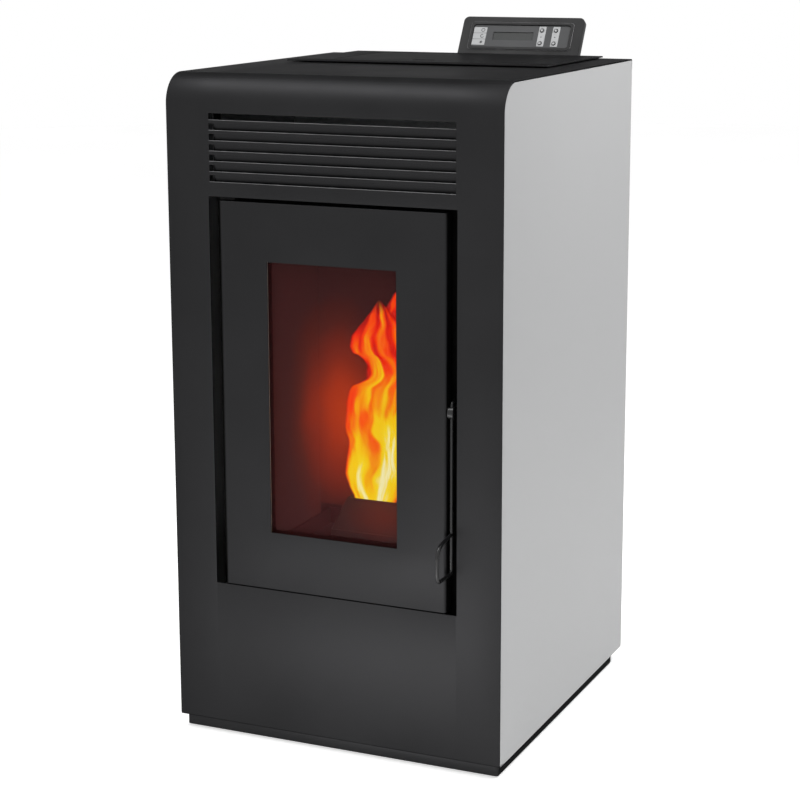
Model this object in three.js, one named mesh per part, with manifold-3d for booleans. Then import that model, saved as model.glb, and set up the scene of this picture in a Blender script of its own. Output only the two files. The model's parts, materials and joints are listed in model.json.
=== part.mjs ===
// Pellet stove, millimetres. X runs to the viewer's right, Y to the back, Z up.
// The origin lies on the floor under the middle of the casing.
import * as THREE from 'three';
import { mergeVertices } from 'three/addons/utils/BufferGeometryUtils.js';
import Module from 'manifold-3d';

const wasm = await Module();
wasm.setup();

// ---------- driving dimensions ----------

// Casing
const bodyWidth = 473;
const bodyDepth = 504;
const bodyHeight = 900;
const shellSheet = 2;
const sideSheet = 2;
const backSheet = 1.5;
const topBendRadius = 40;
const sheetReturn = 15;
const fit = 0.3;
const roundFit = 0.7;

// Plinth and feet
const plinthHeight = 18;
const plinthClearance = 2;
const plinthSideInset = 5.6;
const plinthFrontInset = 8;
const plinthRearInset = 28;
const plinthCorner = 4;
const traySheet = 2.5;
const footRadius = 15;
const footPadHeight = 9;
const footStudRadius = 4;
const footInset = 34;
const studPlay = 0.4;

// Front openings
const doorGapSide = 14.75;
const doorGapTop = 5;
const doorGapBottom = 1.5;
const openingSideBorder = 61;
const openingBottom = 216;
const grilleDrop = 50;
const grilleToDoor = 19;
const slotCount = 7;
const slotHeight = 8.7;
const slotBar = 4.7;
const slotEndBorder = 63;

// Louvre insert behind the slots
const louvreSheet = 1.2;
const louvreRun = 14;
const louvreDrop = 8;
const louvreEndGap = 6;
const louvreFrameLap = 7;
const louvreCheekDepth = 20;

// Door
const hingeInset = 10;
const hingeSetback = 14;
const hingePinRadius = 4;
const hingePinLength = 22;
const pinPlay = 0.4;
const doorSheet = 2;
const doorBend = 4;
const doorFlange = 20;
const windowSideBorder = 69;
const windowTopBorder = 77;
const windowBottomBorder = 78.5;
const glassThickness = 4;
const glassSetback = 8.8;
const glassLap = 12;
const retainerSheet = 2.5;
const doorPlate = 4;
const channelDepth = 11;
const channelWall = 1.5;
const channelBase = 4;
const ropeWidth = 14;
const ropeBorder = 11;

// Handle
const handlePivotHeight = 482;
const handleRodRadius = 2.5;
const handleReach = 212;
const handleLoopHeight = 52;
const handleProud = 42;
const handleBossRadius = 8.5;
const handleBossWidth = 8;
const handleShaftRadius = 4;
const catchPinRadius = 2.5;
const catchPinReach = 21;
const catchPinRise = 5.7;
const hookClearance = 0.5;

// Firebox
const fireboxSetback = 40;
const fireboxWall = 4;
const serviceDepth = 238.2;
const fireboxSideMargin = 25.5;
const fireOpeningSideBorder = 45;
const fireSill = 19.5;
const fireLintel = 36;
const flangeLap = 8;
const flangeDrop = 20;
const flangeRise = 10;
const linerThickness = 12;
const sideLinerThickness = 10;
const baffleHeadroom = 41;
const standInset = 8;
const standSheet = 2;

// Burn pot and what carries it
const potBackset = 8;
const potBaseWidth = 110;
const potRimWidth = 76;
const potHeight = 51;
const potBand = 9;
const potWall = 3;
const potFloorRise = 19;
const potHoleRadius = 2.5;
const potHolePitch = 16;
const carrierHeight = 31;
const carrierWall = 3;
const carrierWidth = 100;
const ashPanHeight = 24;
const ashPanSheet = 1.5;
const ashPanSideGap = 13;
const ashPanFrontGap = 4;
const igniterRise = 8;
const igniterRadius = 4;

// Pellet feed
const augerLean = THREE.MathUtils.degToRad(38);
const augerTubeRadius = 28;
const augerTubeWall = 2.5;
const augerLength = 165;
const augerOverhang = 15;
const augerPitch = 40;
const augerPlay = 2;
const augerShaftRadius = 6;
const flightThickness = 3;
const chuteAbovePot = 50;
const chuteRun = 40;
const chuteWall = 2.5;
const chuteShoulder = 8;
const chuteHead = 96;
const gearboxLength = 35;
const motorLength = 40;
const motorRadius = 24;

// Hopper and lid
const coverSideInset = 42;
const coverDepth = 232;
const coverRearInset = 6;
const coverSheet = 2;
const coverRim = 1.2;
const lidWidth = 281;
const lidDepth = 167;
const lidGap = 1.5;
const lidRearGap = 9.5;
const lidHopperLap = 3;
const lidPinRadius = 2.5;
const lidPinDrop = 10;
const lidPinSetback = 2;
const lidFlange = 10.5;
const lidFlangeInset = 2.5;
const fingerSlotWidth = 32;
const fingerSlotDepth = 12;
const hopperWall = 2;
const hopperFrontGap = 50;
const hopperCollarDrop = 10;
const hopperWidth = 260;
const hopperDepth = 149;
const hopperBinHeight = 250;
const hopperFunnelHeight = 170;
const neckWidth = 48;
const neckDepth = 52;
const neckFromEntry = 32;
const guardDrop = 20;
const guardSlots = 7;
const sealWidth = 6;
const sealFrontGap = 1.5;

// Smoke side
const smokeDuctWidth = 50;
const smokeDuctDepth = 39.7;
const smokeDuctWall = 2;
const smokeFanX = -121;
const smokeFanHeight = 115;
const smokeFanWidth = 47.7;
const smokeScrollRadius = 64;
const smokeScrollGrowth = 20;
const smokeWheelRadius = 54;
const smokeWheelWidth = 30;
const smokeInletRadius = 22;
const fanShaftHole = 14;
const fanWall = 2;
const shaftRadius = 4;
const shaftBore = 4.4;
const smokeMouthHeight = 42;
const smokeMouthReach = 86;
const smokeMotorRadius = 36;
const smokeMotorLength = 58;
const smokeShaftLength = 24;
const flueRadius = 40;
const flueWall = 1.5;
const flueBend = 60;
const flueProud = 42;

// Combustion air and room air
const intakeX = 20;
const intakeHeight = 150;
const intakeRadius = 25;
const intakeWall = 1.5;
const intakeProud = 22;
const intakeBend = 45;
const blowerX = 112;
const blowerHeight = 96;
const blowerRearGap = 98;
const blowerWidth = 70;
const blowerScrollRadius = 58;
const blowerScrollGrowth = 18;
const blowerWheelRadius = 52;
const blowerWheelWidth = 58;
const blowerInletRadius = 38;
const blowerMotorHole = 22;
const blowerMouthHeight = 46;
const blowerMouthReach = 84;
const blowerBlades = 12;
const blowerMotorRadius = 30;
const blowerMotorLength = 34;
const blowerShaftLength = 55;
const blowerFootHalf = 34;

// Console
const consoleTilt = THREE.MathUtils.degToRad(60);
const consoleX = 59.5;
const consoleWidth = 189;
const consoleHeight = 64;
const consoleDepth = 10;
const consoleCorner = 8;
const consoleGap = 0.5;
const bezelWidth = 160;
const bezelHeight = 44.5;
const bezelBottom = 10;
const bezelRim = 4.5;
const bezelProud = 1.5;
const fasciaSheet = 1.5;
const fasciaSink = 0.5;
const buttonRadius = 3;
const buttonTravel = 1;
const buttonProud = 1.2;
const buttonColumnPitch = 21.4;
const buttonRowPitch = 20.8;
const buttonFromRight = 52.4;
const displayWidth = 63;
const displayHeight = 13;
const displayX = -12;

// Mains inlet and switch
const inletSideInset = 66.5;
const inletHeight = 76;
const inletWidth = 48;
const inletFlangeHeight = 62;

// Control board box, on the right side panel
const boardBoxThickness = 44;
const boardBoxLength = 130;
const boardBoxRearGap = 58.2;
const boardBoxBottom = 480;
const boardBoxHeight = 160;
const boardBoxLidStep = 3;
const boardBoxLidInset = 4;
const boardVentRows = 5;
const boardVentPitch = 22;

// ---------- derived places ----------

const halfWidth = bodyWidth / 2;
const frontY = -bodyDepth / 2;
const rearY = bodyDepth / 2;
const topZ = bodyHeight;
const openingX = halfWidth - openingSideBorder;
const slotTop = topZ - grilleDrop;
const slotPitch = slotHeight + slotBar;
const slotBottom = slotTop - slotHeight - (slotCount - 1) * slotPitch;
const slotX = halfWidth - slotEndBorder;
const openingTop = slotBottom - grilleToDoor;
const doorBottom = openingBottom + doorGapBottom;
const doorTop = openingTop - doorGapTop;
const doorWidth = 2 * (openingX - doorGapSide);
const hingeX = -doorWidth / 2 + hingeInset;
const hingeY = frontY + hingeSetback;
const trayTop = plinthHeight - fit;
const innerFrontY = frontY + shellSheet + fit;
const innerTopZ = topZ - shellSheet - fit;
const backOuterY = rearY - shellSheet - fit;
const backInnerY = backOuterY - backSheet;

const fireFrontY = frontY + fireboxSetback;
const fireInnerX = openingX - fireboxSideMargin;
const fireInnerFrontY = fireFrontY + fireboxWall;
const fireBackY = backInnerY - serviceDepth;
const fireInnerBackY = fireBackY - fireboxWall;
const fireFloorZ = doorBottom + fireSill;
const fireCeilingZ = doorTop - fireLintel;
const fireOpeningX = openingX - fireOpeningSideBorder;
const flangeX = openingX + flangeLap;
const flangeBottom = openingBottom - flangeDrop;
const flangeTop = openingTop + flangeRise;

const carrierTop = fireFloorZ + carrierHeight;
const potBottom = carrierTop + fit;
const potMidY = (fireInnerFrontY + fireInnerBackY) / 2 + potBackset;
const potFrontY = potMidY - potBaseWidth / 2;
const potRim = potBottom + potHeight;

const augerAxisY = -Math.sin(augerLean);
const augerAxisZ = Math.cos(augerLean);
const chuteY = fireBackY + fit;
const chuteFloorZ = potRim + chuteAbovePot;
const chuteEntryHalf = augerTubeRadius + chuteShoulder;
const entryY = chuteY + chuteRun + chuteEntryHalf * Math.cos(augerLean);
const entryZ = chuteFloorZ + chuteRun + chuteEntryHalf * Math.sin(augerLean);
const augerBelowEntry = augerLength - augerOverhang;
const augerY = entryY - augerBelowEntry * augerAxisY;
const augerZ = entryZ - augerBelowEntry * augerAxisZ;

const coverX = halfWidth - coverSideInset;
const coverRearY = rearY - coverRearInset;
const coverFrontY = coverRearY - coverDepth;
const coverZ = topZ + fit;
const lidTop = coverZ + coverRim + coverSheet;
const hopperY = fireBackY + hopperFrontGap;
const lidFrontY = hopperY - lidHopperLap;
const lidRearY = lidFrontY + lidDepth;
const lidPinY = lidRearY - lidPinSetback;
const lidPinZ = lidTop - lidPinDrop;
const mouthX = lidWidth / 2 + lidGap;
const mouthFrontY = lidFrontY - lidGap;
const mouthRearY = lidRearY + lidRearGap;

const hopperRearY = hopperY + hopperDepth;
const collarZ = topZ - hopperCollarDrop;
const funnelTop = collarZ - hopperBinHeight;
const neckTop = funnelTop - hopperFunnelHeight;
const neckFrontY = entryY + neckFromEntry;
const neckRearY = neckFrontY + neckDepth;

const smokeDuctX0 = smokeFanX - smokeDuctWidth / 2;
const smokeDuctX1 = smokeFanX + smokeDuctWidth / 2;
const smokeDuctRearY = fireBackY + fit + smokeDuctDepth;
const smokeFanFrontY = smokeDuctRearY + fit;
const smokeFanRearY = smokeFanFrontY + smokeFanWidth;
const smokeFanMidY = (smokeFanFrontY + smokeFanRearY) / 2;
const flueAxisZ = smokeFanHeight - smokeScrollRadius - smokeScrollGrowth / 2 + smokeMouthHeight / 2;
const flueStartX = smokeFanX + smokeMouthReach + fit;
const flueX = flueStartX + fanWall / 2 + flueBend;
const blowerY = rearY - blowerRearGap;
const inletX = halfWidth - inletSideInset;

// ---------- materials ----------

function finish(color, roughness, metalness) {
  return new THREE.MeshStandardMaterial({ color, roughness, metalness });
}

const blackPaint = () => finish(0x2c2c2d, 0.5, 0.1);
const silverPaint = () => finish(0xd3d4d5, 0.42, 0.2);
const stovePaint = () => finish(0x222222, 0.7, 0.1);
const zincSheet = () => finish(0xa9acae, 0.45, 0.9);
const castIron = () => finish(0x3a3634, 0.75, 0.5);
const firebrick = () => finish(0x5a3a34, 0.95, 0);
const ropeFibre = () => finish(0x8a8880, 1, 0);
const blackRubber = () => finish(0x151515, 0.9, 0);
const darkPlastic = () => finish(0x4a4b4c, 0.55, 0);
const palePlastic = () => finish(0xc9cacb, 0.5, 0);
const clearGlass = () => {
  const glass = finish(0x402018, 0.05, 0);
  glass.transparent = true;
  glass.opacity = 0.35;
  return glass;
};

// ---------- solids ----------

// A closed geometry as a solid, with its shared corners merged and slivers of no area dropped.
function solidOf(geometry) {
  const bare = new THREE.BufferGeometry();
  bare.setAttribute('position', geometry.getAttribute('position'));
  bare.setIndex(geometry.getIndex());
  const merged = mergeVertices(bare, 1e-4);
  const index = merged.getIndex().array;
  const kept = [];
  for (let i = 0; i < index.length; i += 3) {
    const [a, b, c] = [index[i], index[i + 1], index[i + 2]];
    if (a !== b && b !== c && a !== c) kept.push(a, b, c);
  }
  return new wasm.Manifold(new wasm.Mesh({
    numProp: 3,
    vertProperties: new Float32Array(merged.getAttribute('position').array),
    triVerts: new Uint32Array(kept),
  }));
}

function geometryOf(solid) {
  const mesh = solid.getMesh();
  const geometry = new THREE.BufferGeometry();
  geometry.setAttribute('position', new THREE.BufferAttribute(mesh.vertProperties, 3));
  geometry.setIndex(new THREE.BufferAttribute(mesh.triVerts, 1));
  const flat = geometry.toNonIndexed();
  flat.computeVertexNormals();
  return flat;
}

function join(first, ...others) {
  return others.reduce((whole, piece) => whole.add(piece), first);
}

function cut(body, ...tools) {
  return tools.reduce((rest, tool) => rest.subtract(tool), body);
}

function boxGeometry(x0, x1, y0, y1, z0, z1) {
  const geometry = new THREE.BoxGeometry(x1 - x0, y1 - y0, z1 - z0);
  return geometry.translate((x0 + x1) / 2, (y0 + y1) / 2, (z0 + z1) / 2);
}

function box(x0, x1, y0, y1, z0, z1) {
  return solidOf(boxGeometry(x0, x1, y0, y1, z0, z1));
}

// Sketch planes: 'yz' is drawn (y, z) and extruded along X, 'xz' is drawn (x, z) and extruded
// along Y, 'xy' is drawn (x, y) and extruded along Z.
const planes = {
  yz: [new THREE.Vector3(0, 1, 0), new THREE.Vector3(0, 0, 1), new THREE.Vector3(1, 0, 0)],
  xz: [new THREE.Vector3(1, 0, 0), new THREE.Vector3(0, 0, 1), new THREE.Vector3(0, -1, 0)],
  xy: [new THREE.Vector3(1, 0, 0), new THREE.Vector3(0, 1, 0), new THREE.Vector3(0, 0, 1)],
};

function prismGeometry(plane, shape, from, to, curveSegments = 8) {
  const depth = to - from;
  const geometry = new THREE.ExtrudeGeometry(shape, { depth, bevelEnabled: false, curveSegments });
  const start = plane === 'xz' ? to : from;
  const axis = planes[plane][2];
  const along = axis.clone().multiplyScalar(plane === 'xz' ? -start : start);
  const turn = new THREE.Matrix4().makeBasis(...planes[plane]);
  return geometry.applyMatrix4(turn).translate(along.x, along.y, along.z);
}

function prism(plane, shape, from, to, curveSegments) {
  return solidOf(prismGeometry(plane, shape, from, to, curveSegments));
}

function polygon(points) {
  return new THREE.Shape(points.map(([u, v]) => new THREE.Vector2(u, v)));
}

function disc(u, v, radius) {
  const shape = new THREE.Shape();
  shape.absarc(u, v, radius, 0, 2 * Math.PI, false);
  return shape;
}

function rod(plane, u, v, radius, from, to, curveSegments) {
  return prism(plane, disc(u, v, radius), from, to, curveSegments);
}

function roundedRect(u0, u1, v0, v1, radius) {
  const shape = new THREE.Shape();
  shape.absarc(u1 - radius, v1 - radius, radius, 0, Math.PI / 2, false);
  shape.absarc(u0 + radius, v1 - radius, radius, Math.PI / 2, Math.PI, false);
  shape.absarc(u0 + radius, v0 + radius, radius, Math.PI, 1.5 * Math.PI, false);
  shape.absarc(u1 - radius, v0 + radius, radius, 1.5 * Math.PI, 2 * Math.PI, false);
  shape.closePath();
  return shape;
}

// A four-sided block whose lower and upper faces are two level rectangles.
function taper(lower, upper, z0, z1) {
  const geometry = new THREE.BoxGeometry(1, 1, 1);
  const position = geometry.getAttribute('position');
  for (let i = 0; i < position.count; i += 1) {
    const level = position.getZ(i) > 0 ? upper : lower;
    const x = position.getX(i) > 0 ? level[1] : level[0];
    const y = position.getY(i) > 0 ? level[3] : level[2];
    position.setXYZ(i, x, y, position.getZ(i) > 0 ? z1 : z0);
  }
  return solidOf(geometry);
}

// A bar of round section swept along a curve.
function sweepGeometry(path, radius, steps, sides) {
  const section = new THREE.Shape();
  section.absarc(0, 0, radius, 0, 2 * Math.PI, false);
  const curveSegments = sides / 2;
  return new THREE.ExtrudeGeometry(section, { steps, curveSegments, extrudePath: path });
}

function sweep(path, radius, steps, sides) {
  return solidOf(sweepGeometry(path, radius, steps, sides));
}

const stove = new THREE.Group();

function addPart(name, solid, material, parent = stove) {
  const mesh = new THREE.Mesh(geometryOf(solid), material);
  mesh.name = name;
  parent.add(mesh);
  return mesh;
}

// ---------- casing ----------

function shellOutline() {
  const bendY = frontY + topBendRadius;
  const bendZ = topZ - topBendRadius;
  const shape = new THREE.Shape();
  shape.moveTo(frontY, plinthHeight);
  shape.lineTo(frontY, bendZ);
  shape.absarc(bendY, bendZ, topBendRadius, Math.PI, Math.PI / 2, true);
  shape.lineTo(rearY, topZ);
  shape.lineTo(rearY, topZ - shellSheet);
  shape.lineTo(bendY, topZ - shellSheet);
  shape.absarc(bendY, bendZ, topBendRadius - shellSheet, Math.PI / 2, Math.PI, false);
  shape.lineTo(frontY + shellSheet, plinthHeight);
  shape.closePath();
  return shape;
}

function sideOutline() {
  const bendY = frontY + topBendRadius;
  const bendZ = topZ - topBendRadius;
  const shape = new THREE.Shape();
  shape.moveTo(innerFrontY, plinthHeight);
  shape.lineTo(innerFrontY, bendZ);
  shape.absarc(bendY, bendZ, topBendRadius - shellSheet - fit, Math.PI, Math.PI / 2, true);
  shape.lineTo(rearY, innerTopZ);
  shape.lineTo(rearY, plinthHeight);
  shape.closePath();
  return shape;
}

function slotBottomAt(row) {
  return slotTop - slotHeight - row * slotPitch;
}

function lidHingeEar(side) {
  const x0 = mouthX + 2.5;
  const x1 = x0 + 2.5;
  const outline = new THREE.Shape();
  outline.moveTo(lidPinY - 9, topZ - shellSheet / 2);
  outline.lineTo(lidPinY - 7, lidPinZ);
  outline.absarc(lidPinY, lidPinZ, 7, Math.PI, 2 * Math.PI, false);
  outline.lineTo(lidPinY + 9, topZ - shellSheet / 2);
  outline.closePath();
  outline.holes.push(disc(lidPinY, lidPinZ, lidPinRadius + pinPlay));
  const from = side > 0 ? x0 : -x1;
  return prism('yz', outline, from, from + x1 - x0, 6);
}

function buildShell() {
  let shell = prism('yz', shellOutline(), -halfWidth, halfWidth, 8);
  const lipX = halfWidth - sideSheet - fit;
  shell = join(
    shell,
    box(-lipX, lipX, rearY - shellSheet, rearY, topZ - sheetReturn, topZ - shellSheet / 2),
    box(-lipX, lipX, frontY + shellSheet / 2, frontY + sheetReturn, plinthHeight,
      plinthHeight + shellSheet),
    lidHingeEar(-1),
    lidHingeEar(1),
  );
  const through = shellSheet + 1;
  shell = cut(shell, box(-openingX, openingX, frontY - 1, frontY + through, openingBottom, openingTop));
  for (let row = 0; row < slotCount; row += 1) {
    const z0 = slotBottomAt(row);
    shell = cut(shell, box(-slotX, slotX, frontY - 1, frontY + through, z0, z0 + slotHeight));
  }
  return cut(shell, box(-mouthX, mouthX, mouthFrontY, mouthRearY, topZ - through, topZ + 1));
}

function buildSide(side) {
  const outer = side > 0 ? halfWidth : -halfWidth;
  const inner = outer - side * sideSheet;
  const lap = inner - side * sheetReturn;
  const span = (a, b) => [Math.min(a, b), Math.max(a, b)];
  const [x0, x1] = span(outer, inner);
  const [f0, f1] = span(outer - side * sideSheet / 2, lap);
  const flangeLow = plinthHeight + shellSheet + fit;
  return join(
    prism('yz', sideOutline(), x0, x1, 8),
    box(f0, f1, innerFrontY, innerFrontY + sideSheet, flangeLow, topZ - topBendRadius - sheetReturn),
    box(f0, f1, rearY - sideSheet, rearY, plinthHeight, topZ - sheetReturn - fit),
    box(f0, f1, frontY + 2 * sheetReturn, backInnerY - sheetReturn, plinthHeight,
      plinthHeight + sideSheet),
  );
}

function ventSlots(x0, x1, zBottom, rows, pitch, height) {
  const slots = [];
  for (let row = 0; row < rows; row += 1) {
    const z = zBottom + row * pitch;
    const outline = roundedRect(x0, x1, z, z + height, height / 2 - 0.01);
    slots.push(prism('xz', outline, backInnerY - 1, rearY, 1));
  }
  return slots;
}

function buildBack() {
  const x = halfWidth - sideSheet - fit;
  const plate = box(-x, x, backInnerY, backOuterY, plinthHeight, innerTopZ);
  const blowerVents = ventSlots(blowerX - 40, blowerX + 24, blowerHeight + 22, 5, 16, 7);
  const coolingVents = ventSlots(-120, -20, 760, 3, 16, 7);
  return cut(
    plate,
    rod('xz', flueX, flueAxisZ, flueRadius + 2, backInnerY - 1, rearY, 10),
    rod('xz', intakeX, intakeHeight, intakeRadius + 2, backInnerY - 1, rearY, 8),
    box(inletX - inletWidth / 2 + 4, inletX + inletWidth / 2 - 4, backInnerY - 1, rearY,
      inletHeight + 4, inletHeight + inletFlangeHeight - 4),
    ...blowerVents,
    ...coolingVents,
  );
}

function footPlaces() {
  const x = halfWidth - footInset;
  return [[-x, frontY + footInset], [x, frontY + footInset],
    [-x, rearY - plinthRearInset - footInset + plinthFrontInset],
    [x, rearY - plinthRearInset - footInset + plinthFrontInset]];
}

function buildTray() {
  const x = halfWidth - plinthSideInset;
  const y0 = frontY + plinthFrontInset;
  const y1 = rearY - plinthRearInset;
  const outer = prism('xy', roundedRect(-x, x, y0, y1, plinthCorner), plinthClearance, trayTop, 2);
  const hollow = box(-x + traySheet, x - traySheet, y0 + traySheet, y1 - traySheet, 0,
    trayTop - traySheet);
  let tray = cut(outer, hollow);
  for (const [fx, fy] of footPlaces()) {
    tray = join(tray, rod('xy', fx, fy, 2.2 * footStudRadius, footPadHeight + fit, trayTop, 6));
    tray = cut(tray, rod('xy', fx, fy, footStudRadius + studPlay, 0, trayTop + 1, 6));
  }
  return tray;
}

function footProfile() {
  const studTop = trayTop - 0.5;
  return [[0, 0], [footRadius, 0], [footRadius, footPadHeight - 3], [footRadius - 3, footPadHeight],
    [footStudRadius, footPadHeight], [footStudRadius, studTop], [0, studTop]];
}

function buildCover() {
  const mouth = box(-mouthX, mouthX, mouthFrontY, mouthRearY, topZ - 1, lidTop + 1);
  const rimInset = coverSheet;
  return cut(
    join(
      box(-coverX, coverX, coverFrontY, coverRearY, coverZ + coverRim, lidTop),
      box(-coverX + rimInset, coverX - rimInset, coverFrontY + rimInset, coverRearY - rimInset,
        coverZ, coverZ + coverRim + coverSheet / 2),
    ),
    mouth,
  );
}

addPart('front_shell', buildShell(), blackPaint());
addPart('side_panel_left', buildSide(-1), silverPaint());
addPart('side_panel_right', buildSide(1), silverPaint());
addPart('back_panel', buildBack(), zincSheet());
addPart('base_tray', buildTray(), blackPaint());
footPlaces().forEach(([x, y], i) => {
  const profile = footProfile().map(([r, z]) => new THREE.Vector2(r, z));
  const foot = new THREE.LatheGeometry(profile, 12).rotateX(Math.PI / 2);
  const mesh = addPart(`levelling_foot_${i + 1}`, solidOf(foot), blackRubber());
  mesh.position.set(x, y, 0);
});
addPart('top_cover', buildCover(), blackPaint());

// ---------- louvre insert and warm-air hood ----------

function buildGrille() {
  const y0 = innerFrontY;
  const y1 = y0 + louvreSheet + 0.8;
  const outerX = slotX + louvreFrameLap + 6;
  const innerX = slotX + louvreFrameLap;
  const low = slotBottom - louvreFrameLap;
  const high = Math.min(slotTop + louvreFrameLap, topZ - topBendRadius);
  const cheekX = slotX - louvreEndGap;
  let grille = cut(
    box(-outerX, outerX, y0, y1, low, high),
    box(-innerX, innerX, y0 - 1, y1 + 1, slotBottom - 1, slotTop + 1),
  );
  for (const side of [-1, 1]) {
    const a = side * cheekX;
    const b = side * (cheekX + louvreSheet);
    grille = join(grille, box(Math.min(a, b), Math.max(a, b), y0, y0 + louvreCheekDepth, low, high));
  }
  for (let row = 1; row < slotCount; row += 1) {
    const top = slotBottomAt(row) + slotHeight + slotBar / 2;
    const slat = polygon([
      [y0, top - louvreSheet], [y0, top],
      [y0 + 2, top],
      [y0 + 2 + louvreRun, top - louvreDrop - slotBar / 2],
      [y0 + 2 + louvreRun, top - louvreDrop - slotBar / 2 - louvreSheet],
      [y0 + 2, top - louvreSheet],
    ]);
    grille = join(grille, prism('yz', slat, -cheekX - louvreSheet / 2, cheekX + louvreSheet / 2));
  }
  return grille;
}

function buildHood() {
  const sheet = 1.5;
  const y0 = innerFrontY + louvreSheet + 0.8 + fit;
  const y1 = fireBackY;
  const x = flangeX;
  const z0 = flangeTop + fit;
  const z1 = topZ - topBendRadius + 6;
  const rearDrop = box(-x, x, y1 - sheet, y1, fireCeilingZ + fireboxWall + fit, z1);
  return join(
    cut(
      box(-x, x, y0, y1, z0, z1),
      box(-x + sheet, x - sheet, y0 - 1, y1 - sheet, z0 + sheet, z1 - sheet),
      box(-x + sheet, x - sheet, fireFrontY, y1 - sheet, z0 - 1, z0 + sheet + 1),
    ),
    rearDrop,
  );
}

addPart('air_grille', buildGrille(), blackPaint());
addPart('air_hood', buildHood(), zincSheet());

// ---------- firebox ----------

const smokePortTop = fireCeilingZ - 6;
const smokePortBottom = smokePortTop - 28;

function buildFirebox() {
  const outerX = fireInnerX + fireboxWall;
  return cut(
    join(
      box(-outerX, outerX, fireFrontY, fireBackY, fireFloorZ - fireboxWall, fireCeilingZ + fireboxWall),
      box(-flangeX, flangeX, fireFrontY, fireInnerFrontY, flangeBottom, flangeTop),
    ),
    box(-fireInnerX, fireInnerX, fireInnerFrontY, fireInnerBackY, fireFloorZ, fireCeilingZ),
    box(-fireOpeningX, fireOpeningX, fireFrontY - 1, fireInnerFrontY + 1, fireFloorZ, fireCeilingZ),
    box(-chuteInnerX, chuteInnerX, fireInnerBackY - 1, fireBackY + 1, chuteFloorZ + chuteWall,
      chuteFloorZ + chuteMouth),
    box(smokeDuctX0 + smokeDuctWall, smokeDuctX1 - smokeDuctWall, fireInnerBackY - 1, fireBackY + 1,
      smokePortBottom, smokePortTop),
    rod('xy', intakeX, potMidY, intakeRadius + roundFit, fireFloorZ - fireboxWall - 1, fireFloorZ + 1, 10),
    rod('xz', 0, igniterZ, igniterRadius + 1, fireInnerBackY - 1, fireBackY + 1, 6),
  );
}

const chuteInnerX = augerTubeRadius + 2.5;
const chuteMouth = 61;
const igniterZ = potBottom + igniterRise;

function buildStand() {
  const x = fireInnerX;
  const y0 = fireFrontY + standInset;
  const y1 = fireBackY - standInset;
  const z1 = fireFloorZ - fireboxWall - fit;
  const windowY = 34;
  return cut(
    box(-x, x, y0, y1, plinthHeight, z1),
    box(-x + standSheet, x - standSheet, y0 - 1, y1 + 1, plinthHeight + standSheet, z1 - standSheet),
    box(-x + 22, x - 22, y0 - 1, y1 + 1, plinthHeight - 1, plinthHeight + standSheet + 1),
    prism('yz', roundedRect(y0 + windowY, y1 - windowY, plinthHeight + 30, z1 - 30, 18), -x - 1, x + 1, 2),
    rod('xy', intakeX, potMidY, intakeRadius + 2, z1 - standSheet - 1, z1 + 1, 10),
  );
}

function buildBackLiner() {
  const x = fireInnerX - fit;
  const y1 = fireInnerBackY - fit;
  const y0 = y1 - linerThickness;
  const z0 = carrierTop + 2 * fit;
  const z1 = smokePortBottom - 4;
  const edge = 8;
  return cut(
    box(-x, x, y0, y1, z0, z1),
    box(-chuteInnerX, chuteInnerX, y0 - 1, y1 + 1, chuteFloorZ + chuteWall, chuteFloorZ + chuteMouth),
    rod('xz', 0, igniterZ, igniterRadius + 2, y0 - 1, y1 + 1, 6),
    box(-x - 1, -x + edge, y0 - 1, y0 + 2, z0 - 1, z1 + 1),
    box(x - edge, x + 1, y0 - 1, y0 + 2, z0 - 1, z1 + 1),
  );
}

function buildSideLiner(side) {
  const outer = fireInnerX - fit;
  const inner = outer - sideLinerThickness;
  const y0 = fireInnerFrontY + fit;
  const y1 = fireInnerBackY - 2 * fit - linerThickness;
  const z1 = fireCeilingZ - baffleHeadroom - linerThickness - fit;
  const [x0, x1] = side > 0 ? [inner, outer] : [-outer, -inner];
  return box(x0, x1, y0, y1, fireFloorZ + fit, z1);
}

function buildBaffle() {
  const x = fireInnerX - fit;
  const y0 = fireInnerFrontY + 42;
  const y1 = fireInnerBackY - 2 * fit - linerThickness;
  const z0 = fireCeilingZ - baffleHeadroom - linerThickness;
  const nose = 10;
  return prism('yz', polygon([
    [y0, z0], [y1, z0], [y1, z0 + linerThickness], [y0 + nose, z0 + linerThickness],
  ]), -x, x);
}

addPart('firebox', buildFirebox(), stovePaint());
addPart('firebox_stand', buildStand(), zincSheet());
addPart('firebox_back_plate', buildBackLiner(), firebrick());
addPart('firebox_side_plate_left', buildSideLiner(-1), firebrick());
addPart('firebox_side_plate_right', buildSideLiner(1), firebrick());
addPart('baffle_plate', buildBaffle(), firebrick());

// ---------- burn pot, carrier, ash pan, igniter ----------

function levelRect(width, front, depth) {
  return [-width / 2, width / 2, front, front + depth];
}

function buildCarrier() {
  const y0 = potFrontY - 2;
  const y1 = fireInnerBackY - fit;
  const x = carrierWidth / 2;
  const z0 = fireFloorZ + fit;
  const plateX = potBaseWidth / 2 + 3;
  const opening = potBaseWidth / 2 - 12;
  return cut(
    join(
      box(-x, x, y0, y1, z0, carrierTop),
      box(-plateX, plateX, y0, y1, carrierTop - carrierWall, carrierTop),
    ),
    box(-x + carrierWall, x - carrierWall, y0 + carrierWall, y1 - carrierWall, z0 + carrierWall,
      carrierTop - carrierWall),
    box(-opening, opening, potMidY - opening, potMidY + opening, carrierTop - 5, carrierTop + 1),
    rod('xy', intakeX, potMidY, intakeRadius - intakeWall, z0 - 1, z0 + carrierWall + 1, 10),
  );
}

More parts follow.
